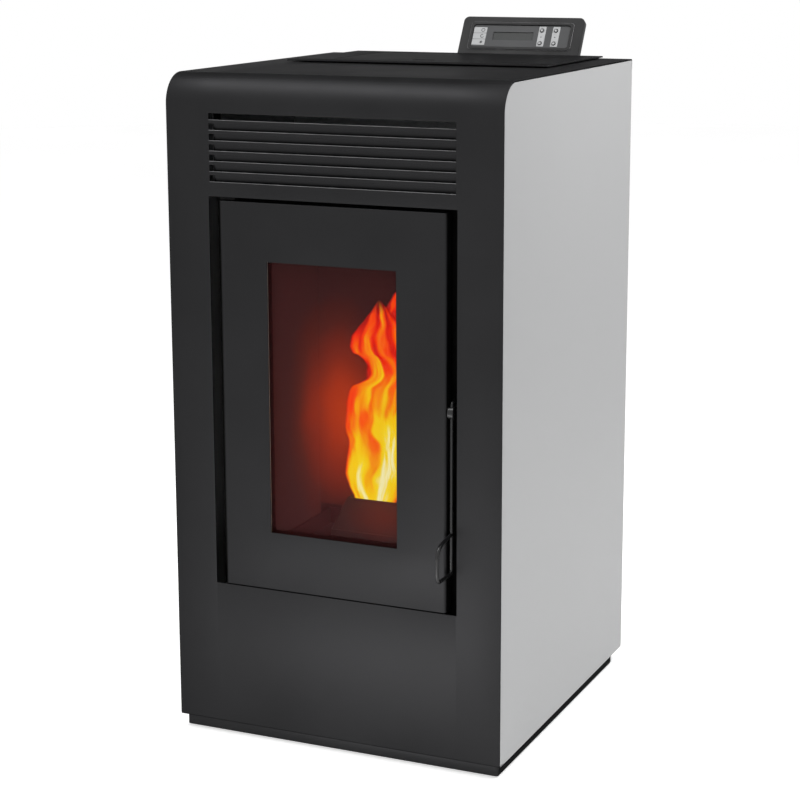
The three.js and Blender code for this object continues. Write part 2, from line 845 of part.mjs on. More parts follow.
function buildPot() {
  const bandTop = potBottom + potBand;
  const floorZ = potBottom + potFloorRise;
  const rimFront = potMidY - potRimWidth / 2;
  const baseOuter = levelRect(potBaseWidth, potFrontY, potBaseWidth);
  const rimOuter = levelRect(potRimWidth, rimFront, potRimWidth);
  const inset = (rect, by) => [rect[0] + by, rect[1] - by, rect[2] + by, rect[3] - by];
  const sideSlope = (potBaseWidth - potRimWidth) / 2 / (potHeight - potBand);
  const widthAt = (z) => potBaseWidth - 2 * sideSlope * Math.max(0, z - bandTop);
  const rectAt = (z, by) => inset(levelRect(widthAt(z), potMidY - widthAt(z) / 2, widthAt(z)), by);
  let pot = join(
    box(baseOuter[0], baseOuter[1], baseOuter[2], baseOuter[3], potBottom, bandTop),
    taper(inset(baseOuter, 0.8), rimOuter, bandTop - 0.5, potRim),
  );
  pot = cut(
    pot,
    taper(rectAt(floorZ + potWall, potWall), rectAt(potRim + 1, potWall), floorZ + potWall, potRim + 1),
    taper(rectAt(bandTop, potWall + 1), rectAt(floorZ, potWall + 1), bandTop - 0.5, floorZ),
    box(baseOuter[0] + potWall + 1, baseOuter[1] - potWall - 1, baseOuter[2] + potWall + 1,
      baseOuter[3] - potWall - 1, potBottom - 1, bandTop),
  );
  const sideHoleZ = floorZ + 3 * potWall;
  const reach = potBaseWidth / 2;
  for (const offset of [-potHolePitch, 0, potHolePitch]) {
    pot = cut(
      pot,
      rod('xz', offset, sideHoleZ, potHoleRadius, potMidY - reach, potMidY + reach, 3),
      rod('yz', potMidY + offset, sideHoleZ, potHoleRadius, -reach, reach, 3),
    );
  }
  for (let i = -1; i <= 1; i += 1) {
    for (let j = -1; j <= 1; j += 1) {
      const x = i * potHolePitch;
      const y = potMidY + j * potHolePitch;
      pot = cut(pot, rod('xy', x, y, potHoleRadius, floorZ - 1, floorZ + potWall + 1, 3));
    }
  }
  return pot;
}

function ashPanOutline(inset) {
  const x = fireInnerX - sideLinerThickness - ashPanSideGap - inset;
  const front = fireInnerFrontY + ashPanFrontGap + inset;
  const back = fireInnerBackY - fit - linerThickness / 2 - inset;
  const notchX = potBaseWidth / 2 + 4 + inset;
  const notchFront = potFrontY - 6 - inset;
  return polygon([
    [-x, front], [x, front], [x, back], [notchX, back], [notchX, notchFront],
    [-notchX, notchFront], [-notchX, back], [-x, back],
  ]);
}

function buildAshPan() {
  const z0 = fireFloorZ + fit;
  const z1 = z0 + ashPanHeight;
  const gripZ = z1 - 12;
  const front = fireInnerFrontY + ashPanFrontGap;
  return join(
    cut(
      prism('xy', ashPanOutline(0), z0, z1),
      prism('xy', ashPanOutline(ashPanSheet), z0 + ashPanSheet, z1 + 1),
    ),
    prism('xz', roundedRect(-28, 28, gripZ, gripZ + 10, 4), front - 3, front + ashPanSheet / 2, 3),
  );
}

function buildIgniter() {
  const tip = potFrontY + potBaseWidth + 0.8;
  const flangeY = fireBackY + fit;
  const profile = [
    [0, tip], [igniterRadius - 1, tip], [igniterRadius, tip + 2], [igniterRadius, flangeY],
    [14, flangeY], [14, flangeY + 3], [7, flangeY + 3], [7, flangeY + 22], [5, flangeY + 24],
    [0, flangeY + 24],
  ];
  return solidOf(new THREE.LatheGeometry(profile.map(([r, y]) => new THREE.Vector2(r, y)), 16));
}

addPart('pot_carrier', buildCarrier(), stovePaint());
addPart('burn_pot', buildPot(), castIron());
addPart('ash_pan', buildAshPan(), zincSheet());
addPart('igniter', buildIgniter(), zincSheet()).position.set(0, 0, igniterZ);

// ---------- pellet feed ----------

const feeder = new THREE.Group();
feeder.position.set(0, augerY, augerZ);
feeder.rotation.x = augerLean;
stove.add(feeder);
feeder.updateMatrixWorld(true);

function inBody(geometry) {
  return solidOf(geometry.applyMatrix4(feeder.matrixWorld));
}

function tubeEnvelope(play) {
  const length = augerLength + 2 * augerTubeRadius;
  return inBody(prismGeometry('xy', disc(0, 0, augerTubeRadius + play), -augerTubeRadius, length, 14));
}

function entryPoint(offset, along = 0) {
  return [
    entryY + offset * Math.cos(augerLean) + along * augerAxisY,
    entryZ + offset * Math.sin(augerLean) + along * augerAxisZ,
  ];
}

function chuteOutline(wall) {
  const back = chuteY;
  const low = entryPoint(-chuteEntryHalf + wall, wall);
  const high = entryPoint(chuteEntryHalf - wall, wall);
  const shoulder = entryPoint(chuteEntryHalf - wall, 50);
  const top = entryZ + chuteHead - 22 - wall;
  return polygon([
    [back, low[1] - (low[0] - back)], low, high, shoulder, [back + 40, top], [back, top],
  ]);
}

function buildChute() {
  const x = chuteInnerX + chuteWall;
  const mouthTop = chuteFloorZ + chuteMouth;
  const hollow = prism('yz', chuteOutline(chuteWall), -chuteInnerX, chuteInnerX);
  const keepFront = box(-x, x, chuteY - 1, chuteY + chuteWall, mouthTop, entryZ + chuteHead);
  return cut(
    prism('yz', chuteOutline(0), -x, x),
    cut(hollow, keepFront),
    tubeEnvelope(fit),
  );
}

function neckOutline(wall) {
  const axisAt = (y) => entryZ + (y - entryY) * (augerAxisZ / augerAxisY);
  const y0 = neckFrontY + wall;
  const y1 = neckRearY - wall;
  const z1 = neckTop + 10;
  return polygon([[y0, z1], [y0, axisAt(y0)], [y1, axisAt(y1)], [y1, z1]]);
}

function hopperSolid(wall) {
  const x = hopperWidth / 2 - wall;
  const neckX = neckWidth / 2 - wall;
  const bin = [-x, x, hopperY + wall, hopperRearY - wall];
  const neck = [-neckX, neckX, neckFrontY + wall, neckRearY - wall];
  const top = collarZ + (wall > 0 ? 1 : 0);
  return join(
    box(...bin, funnelTop, top),
    taper(neck, bin, neckTop, funnelTop),
    prism('yz', neckOutline(wall), -neckX, neckX),
  );
}

function buildHopper() {
  const collarX = mouthX + 14;
  const collarFront = mouthFrontY - 14;
  const rimRear = lidPinY - 11.5;
  const collar = join(
    box(-collarX, collarX, collarFront, rimRear, collarZ - hopperWall, collarZ),
    box(-collarX, -collarX + hopperWall, collarFront, rimRear, collarZ - hopperWall, innerTopZ),
    box(collarX - hopperWall, collarX, collarFront, rimRear, collarZ - hopperWall, innerTopZ),
    box(-collarX, collarX, collarFront, collarFront + hopperWall, collarZ - hopperWall, innerTopZ),
  );
  return cut(join(hopperSolid(0), collar), hopperSolid(hopperWall), tubeEnvelope(fit));
}

function buildGuard() {
  const x = hopperWidth / 2 - hopperWall - fit;
  const y0 = hopperY + hopperWall + fit;
  const y1 = hopperRearY - hopperWall - fit;
  const z1 = collarZ - guardDrop;
  const pitch = 2 * x / guardSlots;
  const border = 10;
  let guard = box(-x, x, y0, y1, z1 - 2, z1);
  for (let i = 0; i < guardSlots; i += 1) {
    const slotX0 = -x + i * pitch + 3;
    guard = cut(guard, box(slotX0, slotX0 + pitch - 6, y0 + border, y1 - border, z1 - 3, z1 + 1));
  }
  return guard;
}

function buildSeal() {
  const x = hopperWidth / 2 + 1;
  const y0 = lidFrontY + lidFlangeInset + coverSheet + sealFrontGap;
  const y1 = hopperRearY;
  const z1 = lidTop - coverSheet - fit;
  const outer = roundedRect(-x, x, y0, y1, 10);
  const inner = roundedRect(-x + sealWidth, x - sealWidth, y0 + sealWidth, y1 - sealWidth, 5);
  return cut(prism('xy', outer, collarZ + fit, z1, 3), prism('xy', inner, collarZ, z1 + 1, 3));
}

function buildAugerTube() {
  const inner = augerTubeRadius - augerTubeWall;
  const halfMouth = neckWidth / 2 - hopperWall - 1;
  const rise = Math.sqrt(augerTubeRadius ** 2 - halfMouth ** 2);
  const alongAt = (y, offset) => (augerY + offset * Math.cos(augerLean) - y) / Math.sin(augerLean);
  const z0 = alongAt(neckRearY - hopperWall, augerTubeRadius) + 3;
  const z1 = alongAt(neckFrontY + hopperWall, rise) - 3;
  return cut(
    join(
      rod('xy', 0, 0, augerTubeRadius, 0, augerLength, 14),
      rod('xy', 0, 0, augerTubeRadius + 8, 0, 3, 8),
    ),
    rod('xy', 0, 0, inner, -1, augerLength + 1, 11),
    box(-halfMouth, halfMouth, augerTubeRadius / 3, augerTubeRadius + 10, z0, z1),
  );
}

// One screw flight: a flat strip wound round the shaft, closed at both ends.
function flightGeometry(radius, z0, z1) {
  const turns = (z1 - z0) / augerPitch;
  const steps = Math.ceil(turns * 12);
  const inner = augerShaftRadius - 1.5;
  const points = [];
  for (let i = 0; i <= steps; i += 1) {
    const angle = (i / steps) * turns * 2 * Math.PI;
    const z = z0 + (i / steps) * (z1 - z0);
    for (const [r, lift] of [[inner, 0], [radius, 0], [radius, flightThickness], [inner, flightThickness]]) {
      points.push(r * Math.cos(angle), r * Math.sin(angle), z + lift);
    }
  }
  const faces = [0, 1, 2, 0, 2, 3];
  for (let i = 0; i < steps; i += 1) {
    for (let side = 0; side < 4; side += 1) {
      const a = 4 * i + side;
      const b = 4 * i + (side + 1) % 4;
      faces.push(a, a + 4, b, b, a + 4, b + 4);
    }
  }
  const end = 4 * steps;
  faces.push(end, end + 2, end + 1, end, end + 3, end + 2);
  const geometry = new THREE.BufferGeometry();
  geometry.setAttribute('position', new THREE.Float32BufferAttribute(points, 3));
  geometry.setIndex(faces);
  return geometry;
}

function buildScrew() {
  const radius = augerTubeRadius - augerTubeWall - augerPlay;
  const flightStart = 6;
  const flightEnd = augerLength - 10;
  return join(
    rod('xy', 0, 0, augerShaftRadius, -gearboxLength / 2, augerLength - 4, 7),
    solidOf(flightGeometry(radius, flightStart, flightEnd)),
  );
}

function buildGearMotor() {
  const half = 33;
  const top = -fit;
  return cut(
    join(
      prism('xy', roundedRect(-half, half, -29, 29, 6), top - gearboxLength, top, 3),
      rod('xy', 0, 0, motorRadius, top - gearboxLength - motorLength, top - gearboxLength + 1, 12),
      rod('xy', 0, 0, motorRadius + 2, top - gearboxLength - 6, top - gearboxLength + 1, 12),
    ),
    rod('xy', 0, 0, augerShaftRadius + fit, -gearboxLength / 2 - 1, 1, 8),
  );
}

addPart('pellet_chute', buildChute(), zincSheet());
addPart('hopper', buildHopper(), zincSheet());
addPart('hopper_guard', buildGuard(), zincSheet());
addPart('lid_seal', buildSeal(), blackRubber());
addPart('auger_tube', buildAugerTube(), zincSheet(), feeder);
addPart('auger_screw', buildScrew(), castIron(), feeder);
addPart('gear_motor', buildGearMotor(), castIron(), feeder);

// ---------- hopper lid ----------

const lid = new THREE.Group();
lid.position.set(0, lidPinY, lidPinZ);
stove.add(lid);

function buildLid() {
  const x = lidWidth / 2;
  const front = lidFrontY - lidPinY;
  const rear = lidRearY - lidPinY;
  const top = lidPinDrop;
  const under = top - coverSheet;
  const flangeX1 = x - lidFlangeInset;
  const flangeX0 = flangeX1 - coverSheet;
  const flangeBottomZ = under - lidFlange;
  const slotFront = front + 9;
  const slotX0 = -10 - fingerSlotWidth / 2;
  const slotX1 = slotX0 + fingerSlotWidth;
  const pinEnd = mouthX + 5.6;
  const plate = cut(
    box(-x, x, front, rear, under, top),
    prism('xy', roundedRect(slotX0, slotX1, slotFront, slotFront + fingerSlotDepth, 4), under - 1,
      top + 1, 3),
  );
  const tongue = prism('yz', polygon([
    [slotFront + fingerSlotDepth - 7, under - 4.5], [slotFront + fingerSlotDepth + 2, under - 4.5],
    [slotFront + fingerSlotDepth + 2, top - 0.5], [slotFront + fingerSlotDepth + 0.5, top - 0.5],
    [slotFront + fingerSlotDepth + 0.5, under - 3], [slotFront + fingerSlotDepth - 7, under - 3],
  ]), slotX0 + 3, slotX1 - 3);
  const flangeFront = front + lidFlangeInset;
  const flangeRear = rear;
  return join(
    plate,
    tongue,
    box(-flangeX1, -flangeX0, flangeFront, flangeRear, flangeBottomZ, top - 0.5),
    box(flangeX0, flangeX1, flangeFront, flangeRear, flangeBottomZ, top - 0.5),
    box(-flangeX1, flangeX1, flangeFront, flangeFront + coverSheet, flangeBottomZ, top - 0.5),
    rod('yz', 0, 0, lidPinRadius, flangeX0 + 0.5, pinEnd, 5),
    rod('yz', 0, 0, lidPinRadius, -pinEnd, -flangeX0 - 0.5, 5),
  );
}

addPart('hopper_lid', buildLid(), blackPaint(), lid);

// ---------- door ----------

const door = new THREE.Group();
door.position.set(hingeX, hingeY, 0);
stove.add(door);

const doorX0 = -hingeInset;
const doorX1 = doorX0 + doorWidth;
const doorFace = -hingeSetback;
const doorRear = doorFace + doorFlange;
const windowX0 = doorX0 + windowSideBorder;
const windowX1 = doorX1 - windowSideBorder;
const windowZ0 = doorBottom + windowBottomBorder;
const windowZ1 = doorTop - windowTopBorder;
const glassY = doorFace + glassSetback;
const retainerY = glassY + glassThickness + fit;
const plateY = retainerY + retainerSheet + fit;
const channelY = plateY + doorPlate;
const ropeZ0 = fireFloorZ - 1.5 - ropeWidth;
const ropeZ1 = fireCeilingZ + 2 + ropeWidth;
const ropeX0 = doorX0 + ropeBorder;
const ropeX1 = doorX1 - ropeBorder - 1.5;

// A rectangular ring in the door's plane: the outer window grown by one value, less the inner one.
function ring(rect, growOuter, growInner, y0, y1) {
  const [x0, x1, z0, z1] = rect;
  return cut(
    box(x0 - growOuter, x1 + growOuter, y0, y1, z0 - growOuter, z1 + growOuter),
    box(x0 - growInner, x1 + growInner, y0 - 1, y1 + 1, z0 - growInner, z1 + growInner),
  );
}

const windowRect = [windowX0, windowX1, windowZ0, windowZ1];
const ropeRect = [ropeX0, ropeX1, ropeZ0, ropeZ1];

function panOutline() {
  const inner = doorBend - doorSheet;
  const shape = new THREE.Shape();
  shape.moveTo(doorX0, doorRear);
  shape.lineTo(doorX0, doorFace + doorBend);
  shape.absarc(doorX0 + doorBend, doorFace + doorBend, doorBend, Math.PI, 1.5 * Math.PI, false);
  shape.lineTo(doorX1 - doorBend, doorFace);
  shape.absarc(doorX1 - doorBend, doorFace + doorBend, doorBend, 1.5 * Math.PI, 2 * Math.PI, false);
  shape.lineTo(doorX1, doorRear);
  shape.lineTo(doorX1 - doorSheet, doorRear);
  shape.lineTo(doorX1 - doorSheet, doorFace + doorBend);
  shape.absarc(doorX1 - doorBend, doorFace + doorBend, inner, 0, -Math.PI / 2, true);
  shape.lineTo(doorX0 + doorBend, doorFace + doorSheet);
  shape.absarc(doorX0 + doorBend, doorFace + doorBend, inner, -Math.PI / 2, -Math.PI, true);
  shape.lineTo(doorX0 + doorSheet, doorRear);
  shape.closePath();
  return shape;
}

function buildDoorPanel() {
  const x0 = doorX0 + doorSheet / 2;
  const x1 = doorX1 - doorSheet / 2;
  const y0 = doorFace + doorSheet / 2;
  const pinHole = hingePinRadius + pinPlay;
  return cut(
    join(
      prism('xy', panOutline(), doorBottom, doorTop, 4),
      box(x0, x1, y0, doorRear, doorBottom, doorBottom + doorSheet),
      box(x0, x1, y0, doorRear, doorTop - doorSheet, doorTop),
    ),
    box(windowX0, windowX1, doorFace - 1, doorFace + doorSheet + 1, windowZ0, windowZ1),
    rod('xy', 0, 0, pinHole, doorBottom - 1, doorTop + 1, 8),
    rod('yz', handleY, handlePivotHeight, handleShaftRadius + pinPlay, doorX1 - doorSheet - 1,
      doorX1 + 1, 8),
  );
}

const handleX = doorX1 + doorGapSide / 3.2;
const handleY = doorFace + 9;

function buildDoorFrame() {
  const z0 = doorBottom + doorSheet + fit;
  const z1 = doorTop - doorSheet - fit;
  const x0 = doorX0 + doorSheet + fit;
  const x1 = doorX1 - doorSheet - fit;
  const bossRadius = hingePinRadius + 3.2;
  const bossLength = hingePinLength + 4;
  const channelEnd = channelY + channelDepth;
  const frame = join(
    box(x0, x1, plateY, channelY, z0, z1),
    box(ropeX0 - channelWall - fit, ropeX1 + channelWall + fit, channelY - 1, channelEnd,
      ropeZ0 - channelWall - fit, ropeZ1 + channelWall + fit),
    rod('xy', 0, 0, bossRadius, z0, z0 + bossLength, 8),
    rod('xy', 0, 0, bossRadius, z1 - bossLength, z1, 8),
  );
  return cut(
    frame,
    ring(ropeRect, fit, -ropeWidth - fit, channelY + channelBase, channelEnd + 1),
    box(ropeX0 + ropeWidth + channelWall + fit, ropeX1 - ropeWidth - channelWall - fit, channelY,
      channelEnd + 1, ropeZ0 + ropeWidth + channelWall + fit, ropeZ1 - ropeWidth - channelWall - fit),
    box(windowX0 - glassLap + 2, windowX1 + glassLap - 2, plateY - 1, channelY + 1,
      windowZ0 - glassLap + 2, windowZ1 + glassLap - 2),
    rod('xy', 0, 0, hingePinRadius + pinPlay, z0 - 1, z0 + bossLength + 1, 8),
    rod('xy', 0, 0, hingePinRadius + pinPlay, z1 - bossLength - 1, z1 + 1, 8),
  );
}

function buildRope() {
  const y0 = channelY + channelBase + fit;
  const y1 = fireFrontY - hingeY - 1;
  return ring(ropeRect, 0, -ropeWidth, y0, y1);
}

addPart('door_panel', buildDoorPanel(), blackPaint(), door);
addPart('door_frame', buildDoorFrame(), stovePaint(), door);
addPart('door_glass', box(windowX0 - glassLap, windowX1 + glassLap, glassY, glassY + glassThickness,
  windowZ0 - glassLap, windowZ1 + glassLap), clearGlass(), door);
addPart('glass_gasket', ring(windowRect, glassLap, 3, doorFace + doorSheet + fit, glassY - fit),
  ropeFibre(), door);
addPart('glass_retainer', ring(windowRect, glassLap + 8, glassLap - 3, retainerY, retainerY + retainerSheet),
  zincSheet(), door);
addPart('door_gasket', buildRope(), ropeFibre(), door);

// ---------- door handle ----------

const handle = new THREE.Group();
handle.position.set(handleX, handleY, handlePivotHeight);
door.add(handle);

function handlePath() {
  const v = (y, z) => new THREE.Vector3(0, y, z);
  const rodY = -1.5;
  const bottom = -handleReach;
  const top = bottom + handleLoopHeight;
  const out = doorFace - handleY - handleProud + handleRodRadius;
  const path = new THREE.CurvePath();
  path.add(new THREE.QuadraticBezierCurve3(v(9, 13), v(-1, 16), v(rodY, 5)));
  path.add(new THREE.LineCurve3(v(rodY, 5), v(rodY, bottom + 6)));
  path.add(new THREE.QuadraticBezierCurve3(v(rodY, bottom + 6), v(rodY, bottom), v(rodY - 6, bottom)));
  path.add(new THREE.LineCurve3(v(rodY - 6, bottom), v(out + 10, bottom)));
  path.add(new THREE.QuadraticBezierCurve3(v(out + 10, bottom), v(out, bottom), v(out, bottom + 12)));
  path.add(new THREE.LineCurve3(v(out, bottom + 12), v(out, top - 22)));
  path.add(new THREE.QuadraticBezierCurve3(v(out, top - 22), v(out, top - 8), v(out + 16, top - 4)));
  path.add(new THREE.LineCurve3(v(out + 16, top - 4), v(rodY, top)));
  return path;
}

function buildHandle() {
  const half = handleBossWidth / 2;
  const hookHalf = handleRodRadius;
  const toothTop = catchPinRise - catchPinRadius - hookClearance;
  const pinRear = catchPinReach + catchPinRadius;
  const hook = polygon([
    [0, -5], [pinRear + 2, -7], [pinRear + 6, -5], [pinRear + 6, toothTop], [pinRear + 1.5, toothTop],
    [pinRear + 1.5, toothTop - 3.5], [6, toothTop - 3.5], [0, 5],
  ]);
  return join(
    sweep(handlePath(), handleRodRadius, 30, 8),
    rod('yz', 0, 0, handleBossRadius, -half, half, 9),
    rod('yz', 0, 0, handleShaftRadius, -half - 12, -half + 1, 7),
    prism('yz', hook, -hookHalf, hookHalf),
  );
}

addPart('handle_lever', buildHandle(), blackPaint(), handle);

// ---------- hinge brackets and catch ----------

function buildHingeBracket(side) {
  const plateHalf = 11;
  const backY = fireFrontY - fit - hingeY;
  const gapMid = side > 0 ? (doorTop + openingTop) / 2 : doorBottom - 4;
  const z0 = gapMid - 1.5;
  const z1 = gapMid + 1.5;
  const upright = side > 0 ? [z0, flangeTop - 2] : [flangeBottom + 1, z1];
  const pin = side > 0
    ? rod('xy', 0, 0, hingePinRadius, doorTop - hingePinLength, z0 + 1, 8)
    : join(
      rod('xy', 0, 0, hingePinRadius, z1 - 1, doorBottom + hingePinLength, 8),
      rod('xy', 0, 0, hingePinRadius + 3, z1 - 1, doorBottom - fit, 8),
    );
  return join(
    box(-plateHalf, plateHalf, -8, backY, z0, z1),
    box(-plateHalf, plateHalf, backY - 3, backY, upright[0], upright[1]),
    pin,
  );
}

const hinges = new THREE.Group();
hinges.position.copy(door.position);
stove.add(hinges);
addPart('hinge_bracket_top', buildHingeBracket(1), stovePaint(), hinges);
addPart('hinge_bracket_bottom', buildHingeBracket(-1), stovePaint(), hinges);

function buildCatch() {
  const backY = fireFrontY - fit - hingeY - handleY;
  const plate0 = handleBossWidth / 2 + 0.6;
  const plate1 = plate0 + 2.5;
  return join(
    box(plate0, plate1, catchPinReach - 6, backY, -handleBossRadius * 2, catchPinRise + 8),
    box(plate0 - 12, plate1, backY - 3, backY, catchPinRise + 6, catchPinRise + 14),
    rod('yz', catchPinReach, catchPinRise, catchPinRadius, -handleRodRadius - 1, plate1, 6),
  );
}

const catchGroup = new THREE.Group();
catchGroup.position.set(hingeX + handleX, hingeY + handleY, handlePivotHeight);
stove.add(catchGroup);
addPart('latch_catch', buildCatch(), stovePaint(), catchGroup);

// ---------- fans ----------

function buildScroll(radius, growth, mouthHeight, reach, width, inletRadii) {
  const outer = fanOutline(radius, growth, mouthHeight, reach, 0);
  const inner = fanOutline(radius, growth, mouthHeight, reach + 1, fanWall);
  return cut(
    prism('xy', outer, 0, width),
    prism('xy', inner, fanWall, width - fanWall),
    rod('xy', 0, 0, inletRadii[0], -1, fanWall + 1, 7),
    rod('xy', 0, 0, inletRadii[1], width - fanWall - 1, width + 1, 7),
  );
}

// Scroll of a centrifugal fan about (0, 0): from its narrow end on the +X side the radius grows over
// the top and round to the bottom, and the wall then runs straight to a mouth at X = reach.
function fanOutline(radius, growth, mouthHeight, reach, wall) {
  const steps = 18;
  const points = [];
  for (let i = 0; i <= steps; i += 1) {
    const t = i / steps;
    const angle = t * 1.5 * Math.PI;
    const r = radius + growth * t - wall;
    points.push([r * Math.cos(angle), r * Math.sin(angle)]);
  }
  const bottom = -(radius + growth - wall);
  points.push([reach, bottom]);
  points.push([reach, bottom + mouthHeight - wall]);
  points.push([radius - wall, bottom + mouthHeight - wall]);
  return polygon(points);
}

function buildPaddleWheel(radius, width, blades) {
  let wheel = join(
    rod('xy', 0, 0, radius, 0, 2, 8),
    rod('xy', 0, 0, 9, 0, width * 0.7, 5),
  );
  for (let i = 0; i < blades; i += 1) {
    const blade = boxGeometry(7, radius, -1, 1, 1, width);
    wheel = join(wheel, solidOf(blade.rotateZ((i / blades) * 2 * Math.PI)));
  }
  return cut(wheel, rod('xy', 0, 0, shaftBore, -1, width + 1, 5));
}

// A squirrel cage: a middle disc on a hub, two end rings and forward-curved blades.
function buildCageWheel(radius, width, blades) {
  const depth = 9;
  const band = (z0, z1) => cut(
    rod('xy', 0, 0, radius, z0, z1, 8),
    rod('xy', 0, 0, radius - depth, z0 - 1, z1 + 1, 8),
  );
  const mid = width / 2;
  let wheel = join(
    band(0, 2),
    band(width - 2, width),
    rod('xy', 0, 0, radius - 1, mid - 1, mid + 1, 8),
    rod('xy', 0, 0, 10, mid - 12, mid + 12, 5),
  );
  for (let i = 0; i < blades; i += 1) {
    const blade = boxGeometry(-depth / 2, depth / 2 - 0.6, -0.6, 0.6, 1, width - 1);
    blade.rotateZ(0.5).translate(radius - depth / 2, 0, 0).rotateZ((i / blades) * 2 * Math.PI);
    wheel = join(wheel, solidOf(blade));
  }
  return cut(wheel, rod('xy', 0, 0, shaftBore, -1, width + 1, 5));
}

function buildMotor(radius, length, shaftLength) {
  return join(
    rod('xy', 0, 0, radius, -length, 0, 8),
    rod('xy', 0, 0, 10, -1, 1.5, 5),
    rod('xy', 0, 0, shaftRadius, -1, shaftLength, 5),
  );
}

function buildSmokeDuct() {
  const y0 = fireBackY + fit;
  const z0 = smokeFanHeight - 45;
  const z1 = smokePortTop + 8;
  return cut(
    box(smokeDuctX0, smokeDuctX1, y0, smokeDuctRearY, z0, z1),
    box(smokeDuctX0 + smokeDuctWall, smokeDuctX1 - smokeDuctWall, y0 + smokeDuctWall,
      smokeDuctRearY - smokeDuctWall, z0 + smokeDuctWall, z1 - smokeDuctWall),
    box(smokeDuctX0 + smokeDuctWall, smokeDuctX1 - smokeDuctWall, y0 - 1, y0 + smokeDuctWall + 1,
      smokePortBottom, smokePortTop),
    rod('xz', smokeFanX, smokeFanHeight, 22, smokeDuctRearY - smokeDuctWall - 1, smokeDuctRearY + 1, 10),
  );
}

// A quarter bend: it leaves its start along one direction and ends along the other.
class Elbow extends THREE.Curve {
  constructor(start, along, turned, radius) {
    super();
    Object.assign(this, { start, along, turned, radius });
  }

  getPoint(t, target = new THREE.Vector3()) {
    const angle = t * Math.PI / 2;
    return target.copy(this.start)
      .addScaledVector(this.along, this.radius * Math.sin(angle))
      .addScaledVector(this.turned, this.radius * (1 - Math.cos(angle)));
  }
}

const elbowSteps = 4;

function buildFlue() {
  const start = new THREE.Vector3(flueStartX + fanWall / 2, smokeFanMidY, flueAxisZ);
  const alongX = new THREE.Vector3(1, 0, 0);
  const alongY = new THREE.Vector3(0, 1, 0);
  const bend = new Elbow(start, alongX, alongY, flueBend);
  const straightY = smokeFanMidY + flueBend;
  const run = (radius, extra) => join(
    rod('yz', smokeFanMidY, flueAxisZ, radius, start.x - extra, start.x + 0.5, 10),
    sweep(bend, radius, elbowSteps, 20),
    rod('xz', flueX, flueAxisZ, radius, straightY - 0.5, rearY + flueProud + extra, 10),
  );
  const plateHalf = smokeFanWidth / 2;
  const plate = box(flueStartX, flueStartX + fanWall, smokeFanMidY - plateHalf, smokeFanMidY + plateHalf,
    flueAxisZ - flueRadius, flueAxisZ + flueRadius);
  return cut(join(plate, run(flueRadius, 0)), run(flueRadius - flueWall, fanWall));
}

const smokeFan = new THREE.Group();
smokeFan.position.set(smokeFanX, smokeFanRearY, smokeFanHeight);
smokeFan.rotation.x = Math.PI / 2;
stove.add(smokeFan);
addPart('smoke_duct', buildSmokeDuct(), zincSheet());
addPart('smoke_fan_housing', buildScroll(smokeScrollRadius, smokeScrollGrowth, smokeMouthHeight,
  smokeMouthReach, smokeFanWidth, [fanShaftHole, smokeInletRadius]), zincSheet(), smokeFan);
const smokeWheel = addPart('smoke_fan_wheel', buildPaddleWheel(smokeWheelRadius, smokeWheelWidth, 7),
  zincSheet(), smokeFan);
smokeWheel.position.z = fanWall + 3;
const smokeMotor = addPart('smoke_fan_motor',
  buildMotor(smokeMotorRadius, smokeMotorLength, smokeShaftLength), castIron(), smokeFan);
smokeMotor.position.z = -fit;
addPart('flue_pipe', buildFlue(), zincSheet());

// The room fan stands on the base tray, blows forward under the firebox and carries its motor on
// the wall away from its inlet.
const blower = new THREE.Group();
blower.position.set(blowerX - blowerWidth / 2, blowerY, blowerHeight);
blower.setRotationFromMatrix(new THREE.Matrix4().makeBasis(
  new THREE.Vector3(0, -1, 0), new THREE.Vector3(0, 0, -1), new THREE.Vector3(1, 0, 0)));
stove.add(blower);

function buildBlowerHousing() {
  const scroll = buildScroll(blowerScrollRadius, blowerScrollGrowth, blowerMouthHeight, blowerMouthReach,
    blowerWidth, [blowerInletRadius, blowerMotorHole]);
  const seat = blowerHeight - trayTop - fit;
  const sideFoot = (z) => box(-blowerFootHalf, blowerFootHalf, blowerScrollRadius - fanWall, seat,
    z, z + fanWall);
  return join(
    scroll,
    sideFoot(0),
    sideFoot(blowerWidth - fanWall),
    box(-blowerFootHalf, blowerFootHalf, seat - fanWall, seat, 0, blowerWidth),
  );
}

addPart('blower_housing', buildBlowerHousing(), zincSheet(), blower);
const cage = addPart('blower_wheel', buildCageWheel(blowerWheelRadius, blowerWheelWidth, blowerBlades),
  zincSheet(), blower);
cage.position.z = (blowerWidth - blowerWheelWidth) / 2;
const blowerMotor = addPart('blower_motor',
  buildMotor(blowerMotorRadius, blowerMotorLength, blowerShaftLength), castIron(), blower);
blowerMotor.rotation.y = Math.PI;
blowerMotor.position.z = blowerWidth + fit;

// ---------- combustion air ----------

function buildIntake() {
  const startY = rearY + intakeProud;
  const endZ = fireFloorZ - fit;
  const bendY = potMidY + intakeBend;
  const alongY = new THREE.Vector3(0, -1, 0);
  const alongZ = new THREE.Vector3(0, 0, 1);
  const bend = new Elbow(new THREE.Vector3(intakeX, bendY, intakeHeight), alongY, alongZ, intakeBend);
  const run = (radius, extra) => join(
    rod('xz', intakeX, intakeHeight, radius, bendY - 0.5, startY + extra, 8),
    sweep(bend, radius, elbowSteps, 16),
    rod('xy', intakeX, potMidY, radius, intakeHeight + intakeBend - 0.5, endZ + extra, 8),
  );
  return cut(run(intakeRadius, 0), run(intakeRadius - intakeWall, 1));
}

addPart('air_intake_pipe', buildIntake(), zincSheet());

// ---------- control console ----------

const consoleGroup = new THREE.Group();
consoleGroup.position.set(consoleX, rearY + consoleGap, topZ);
consoleGroup.rotation.x = consoleTilt;
stove.add(consoleGroup);

